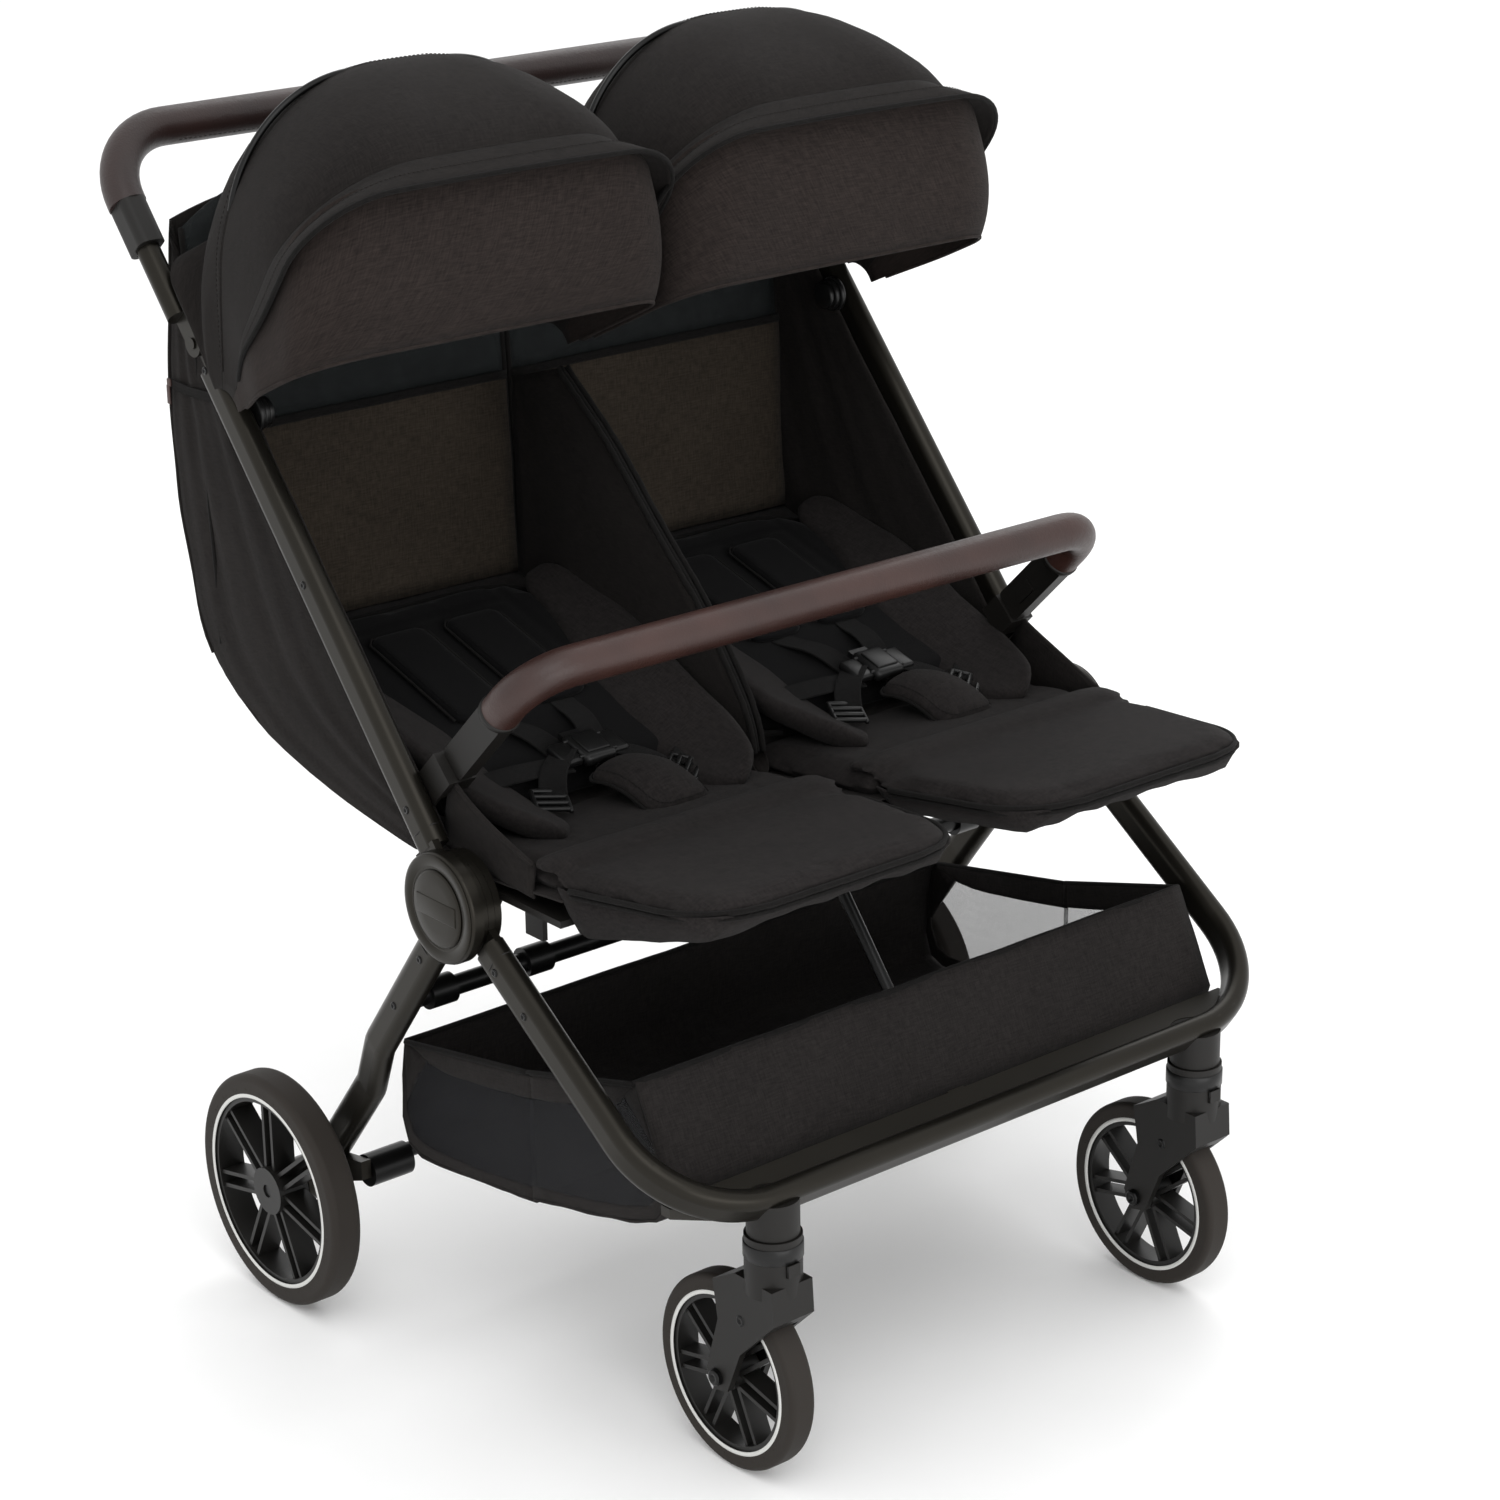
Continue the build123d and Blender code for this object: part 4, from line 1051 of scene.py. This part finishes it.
def basket():
    half = 311.5
    columns = [-half + 2 * half * s for s in steps(44)]
    front_profile = [(-279, 349), (-300, 310), (-320, 266), (-314, 248), (-304, 236), (-270, 224), (-232, 213),
                     (-190, 203), (-136, 191.5)]
    rear_profile = [(-141, 191), (-90, 183), (-61, 178), (0, 172), (28, 171), (44, 177), (52, 198), (50, 240),
                    (43, 275)]
    for label, profile, top_a, top_b, edge, body, opening in (
            ("front", front_profile, (-279, 349), (-136, 309), (-279, 349), "chassis", (0.16, 1.0)),
            ("rear", rear_profile, (-141, 309.6), (43, 275), (43, 275), "rear_frame", (0.0, 0.78))):
        rear = label == "rear"
        fine = refine(profile, 4)
        rows = []
        for i, (y, z) in enumerate(fine):
            loose = 2 < i < len(fine) - 3
            ease = 2.4 if abs(z - 266) > 30 or rear else 0.6
            rows.append([])
            for x in columns:
                fold = 1.8 * sin(x / 17 + 3 * sin(x / 90) + z / 15) if rear and loose else 0
                rows[-1].append((x, y + wobble((x, y, z), 48, ease),
                                 z + 2 + wobble((x, y, z), 52, 3.4 if loose else 0.8, 4) + fold))
        part = Shape().sheet(rows, 2.0, flip=True)
        net = Shape()
        fine = refine(profile, 3)
        for side in (-1, 1):
            def wall_point(t, s):
                k = s * (len(fine) - 1)
                i = min(int(k), len(fine) - 2)
                y, z = (mix(p, q, k - i) for p, q in zip(fine[i], fine[i + 1]))
                top_y, top_z = (mix(p, q, s) for p, q in zip(top_a, top_b))
                y, z = mix(y, top_y, t), mix(z + 2.0, top_z, t)
                bulge = 1.6 * hump(t) * hump(s) + wobble((0, y, z), 34, 1.2, side)
                return side * min(312.8, half - 0.5 + bulge), y, z

            def patch(t0, t1, s0, s1, n, m, thick):
                rows = grid(n, m, lambda t, s: wall_point(mix(t0, t1, t), mix(s0, s1, s)))
                return Shape().sheet(rows, thick, flip=side > 0)
            # Cloth below, along the top and at the outer end, and netting in the rest of the side.
            for t0, t1, s0, s1 in ((0, 0.10, 0, 1), (0.80, 1, 0, 1), (0.10, 0.80, 0, opening[0]),
                                   (0.10, 0.80, opening[1], 1)):
                if s1 - s0 > 0.01:
                    part.merge(patch(t0, t1, s0, s1, 4, max(2, int(24 * (s1 - s0))), 2.0))
            net.merge(patch(0.09, 0.81, max(0, opening[0] - 0.01), min(1, opening[1] + 0.01), 8, 20, 0.7))
        part.done("basket_%s_cloth" % label, BASKET_CLOTH, "fabric_black", body, replaces=("basket_" + label,))
        net.done("basket_%s_net" % label, SIDE_NET, "mesh", body)
        hems = Shape()
        hems.tube([(x, edge[0] + wobble((x, 0, 0), 60, 1.5), edge[1] + 1)
                   for x in (-half + half * j / 20 for j in range(41))], 2.8, sides=8)
        for side in (-1, 1):
            hems.tube([(side * half, mix(top_a[0], top_b[0], t), mix(top_a[1], top_b[1], t) + 0.5)
                       for t in steps(12)], 2.6, sides=8)
        hems.done("basket_hem_" + label, BINDING, "fabric_black", body)


# ---------------------------------------------------------------- wheels
def wheel_trim():
    """The light ring on each face of a wheel, and shallow arcs moulded in the tyre's shoulder."""
    for name, side in SIDES:
        for kind, wheel, ring, width in (("rear", REAR_WHEEL, 89.0, 30), ("front", FRONT_WHEEL, 70.0, 26)):
            centre = (side * wheel[0], wheel[1], wheel[2])
            trim = Shape()
            relief = Shape()
            count = 26
            for face in (-1, 1):
                x = face * (width / 2)
                trim.turned([(x - face * 0.6, ring - 1.9), (x + face * 0.05, ring - 1.7), (x + face * 0.25, ring),
                             (x + face * 0.05, ring + 1.7), (x - face * 0.6, ring + 1.9)], centre, (1, 0, 0),
                            sides=96, closed=True)
                for k in range(count):
                    arc = []
                    for t in steps(8):
                        a = 2 * pi * k / count + (t - 0.5) * 2 * pi / count * 0.8
                        r = mix(ring + 5, wheel[2] - 4.5, hump(t))
                        arc.append((centre[0] + x - face * (0.2 + 2.4 * hump(t) ** 2),
                                    centre[1] + r * cos(a), centre[2] + r * sin(a)))
                    relief.tube(arc, 0.55, sides=5)
            trim.done(kind + "_ring_" + name, REFLECTIVE, "rim", "%s_wheel_%s" % (kind, name))
            relief.done(kind + "_relief_" + name, TYRE_FOAM, "tyre", "%s_wheel_%s" % (kind, name))


# ---------------------------------------------------------------- hard details
def screw(shape, place, axis, radius=4.0, height=1.6):
    shape.turned([(0, radius), (height * 0.6, radius), (height, radius * 0.8), (height, radius * 0.45),
                  (height * 0.35, radius * 0.4), (height * 0.35, 0.05)], place, axis, sides=20)


def details():
    for name, side in SIDES:
        out = (side, 0, 0)
        # Hub disc: a raised rim, a dished middle and a flat band across it.
        disc = Shape()
        disc.turned([(0, 46), (0.8, 46.6), (1.4, 45.5), (1.6, 43), (1.2, 37.5), (0.2, 36)],
                    (side * 362.6, *HUB), out, sides=96)
        disc.turned([(0, 33.2), (0.6, 33.0), (1.3, 31.0), (1.7, 20), (1.8, 0.2)], (side * 363.2, *HUB), out, sides=96)
        disc.block((1.6, 54, 17), Matrix.Translation((side * 364.7, *HUB)), 0.7)
        disc.done("hub_disc_" + name, FRAME_METAL, "frame", "seat_frame")
        # Screw heads on the tubes' outer faces.
        tubes = (("seat_frame", SEAT_ANGLE, (88, 300, 508)), ("chassis", FRONT_ANGLE, (72, 118)),
                 ("rear_frame", REAR_LEG_ANGLE, (80, 150)))
        for body, angle, reaches in tubes:
            heads = Shape()
            for reach in reaches:
                screw(heads, (side * TUBE_FACE, *polar(reach, angle)), out, 3.6, 1.5)
            heads.done("screws_" + body + "_" + name, DARK_METAL, "dark_metal", body)
        # The line where each tube leaves its hub collar.
        for body, angle, reaches in tubes:
            a = radians(angle)
            y, z = polar(COLLAR_END, angle)
            line = [(side * TUBE_X + 10.0 * cos(2 * pi * t), y - sin(a) * (16.0 * sin(2 * pi * t)),
                     z + cos(a) * (16.0 * sin(2 * pi * t))) for t in steps(32)]
            Shape().tube(line, 0.8, sides=6).done("collar_line_%s_%s" % (body, name), PLASTIC, "plastic", body)
        # Canopy joints on the seat tubes, and the zip in the side cloth below the canopy.
        joint = Shape()
        for k in range(3):
            r = 15 - 2 * k
            joint.turned([(-2.6, 0.4), (-2.6, r), (-1.8, r + 1.5), (1.8, r + 1.5), (2.6, r), (2.6, 0.4)],
                         (side * (TUBE_X - 15 - 5.6 * k), *CANOPY_PIVOT), out, sides=40)
        joint.done("canopy_joint_" + name, GLOSS, "gloss", "seat_frame")
        zip_line = Shape()
        zip_line.strap([(side * 330.4, mix(216, 335, k / 20), 811 + 1.5 * sin(k / 3)) for k in range(21)],
                       9.0, 1.0, across=(0, 0, 1))
        zip_line.done("zip_" + name, BINDING, "fabric_black", "seat_frame")
        pull = Shape()
        pull.block((2.2, 6, 7), Matrix.Translation((side * 331.6, 332, 812)), 0.9)
        pull.block((1.4, 5, 17), Matrix.Translation((side * 332.2, 333, 801)), 0.6)
        pull.done("zip_pull_" + name, BAR_LEATHER, "bar_leather", "seat_frame")
        # Caster housings: a band with a block on its front, and the bolts.
        ring = Shape()
        cx, cy = side * CASTER_X, CASTER_Y
        ring.turned([(-7, 24.2), (-6.4, 24.9), (6.4, 24.9), (7, 24.2)], (cx, cy, 218), (0, 0, 1), sides=48)
        ring.block((13, 3, 6), Matrix.Translation((cx, cy - 24.6, 208)), 1.2)
        ring.done("caster_band_" + name, GLOSS, "gloss", "caster_" + name)
        bolts = Shape()
        for face in (-1, 1):
            screw(bolts, (cx + face * 24.0, *FRONT_WHEEL[1:]), (face, 0, 0), 7.0, 2.2)
            screw(bolts, (cx + face * 20.0, -352, 150), (face, 0, 0), 5.0, 2.4)
        bolts.done("caster_bolts_" + name, DARK_METAL, "dark_metal", "caster_" + name)
        # Bumper end rings.
        d = Vector((0, BUMPER[0] - BUMPER_ROOT[0], BUMPER[1] - BUMPER_ROOT[1])).normalized()
        start = Vector((side * 314.0, *BUMPER_ROOT)) + d * 97.6
        cuff = Shape().turned([(-1.2, 16.6), (-0.6, 17.9), (3.2, 18.2), (4.0, 17.2)], tuple(start), tuple(d), sides=40)
        cuff.done("bumper_cuff_" + name, PLASTIC, "bar_leather", "bumper")
    # Seams under the grip and the bumper.
    seam = Shape().stitches([(x, GRIP[0] - 12.6, GRIP[1] - 11.2) for x in range(-280, 281, 6)], 5.0, 3.4, 0.5)
    seam.done("grip_seam", THREAD, "leather", "handle")
    seam = Shape().stitches([(x, BUMPER[0] + 12.6, BUMPER[1] - 11.4) for x in range(-262, 263, 6)], 5.0, 3.4, 0.5)
    seam.done("bumper_seam", THREAD, "bar_leather", "bumper")


make_camera()
make_studio()
for node_name, node in frame["nodes"].items():
    given = [p["material_slot"] for p in frame["record"]["subparts"] if p["node"] == node_name]
    node.data.materials.clear()
    node.data.materials.append(FOOT_RUBBER if node_name == "footboard" else BY_SLOT[given[0]])
for name, side in SIDES:
    canopy(name, side)
    harness(name, side)
seat_shell()
backrests()
seats()
footrests()
basket()
wheel_trim()
details()
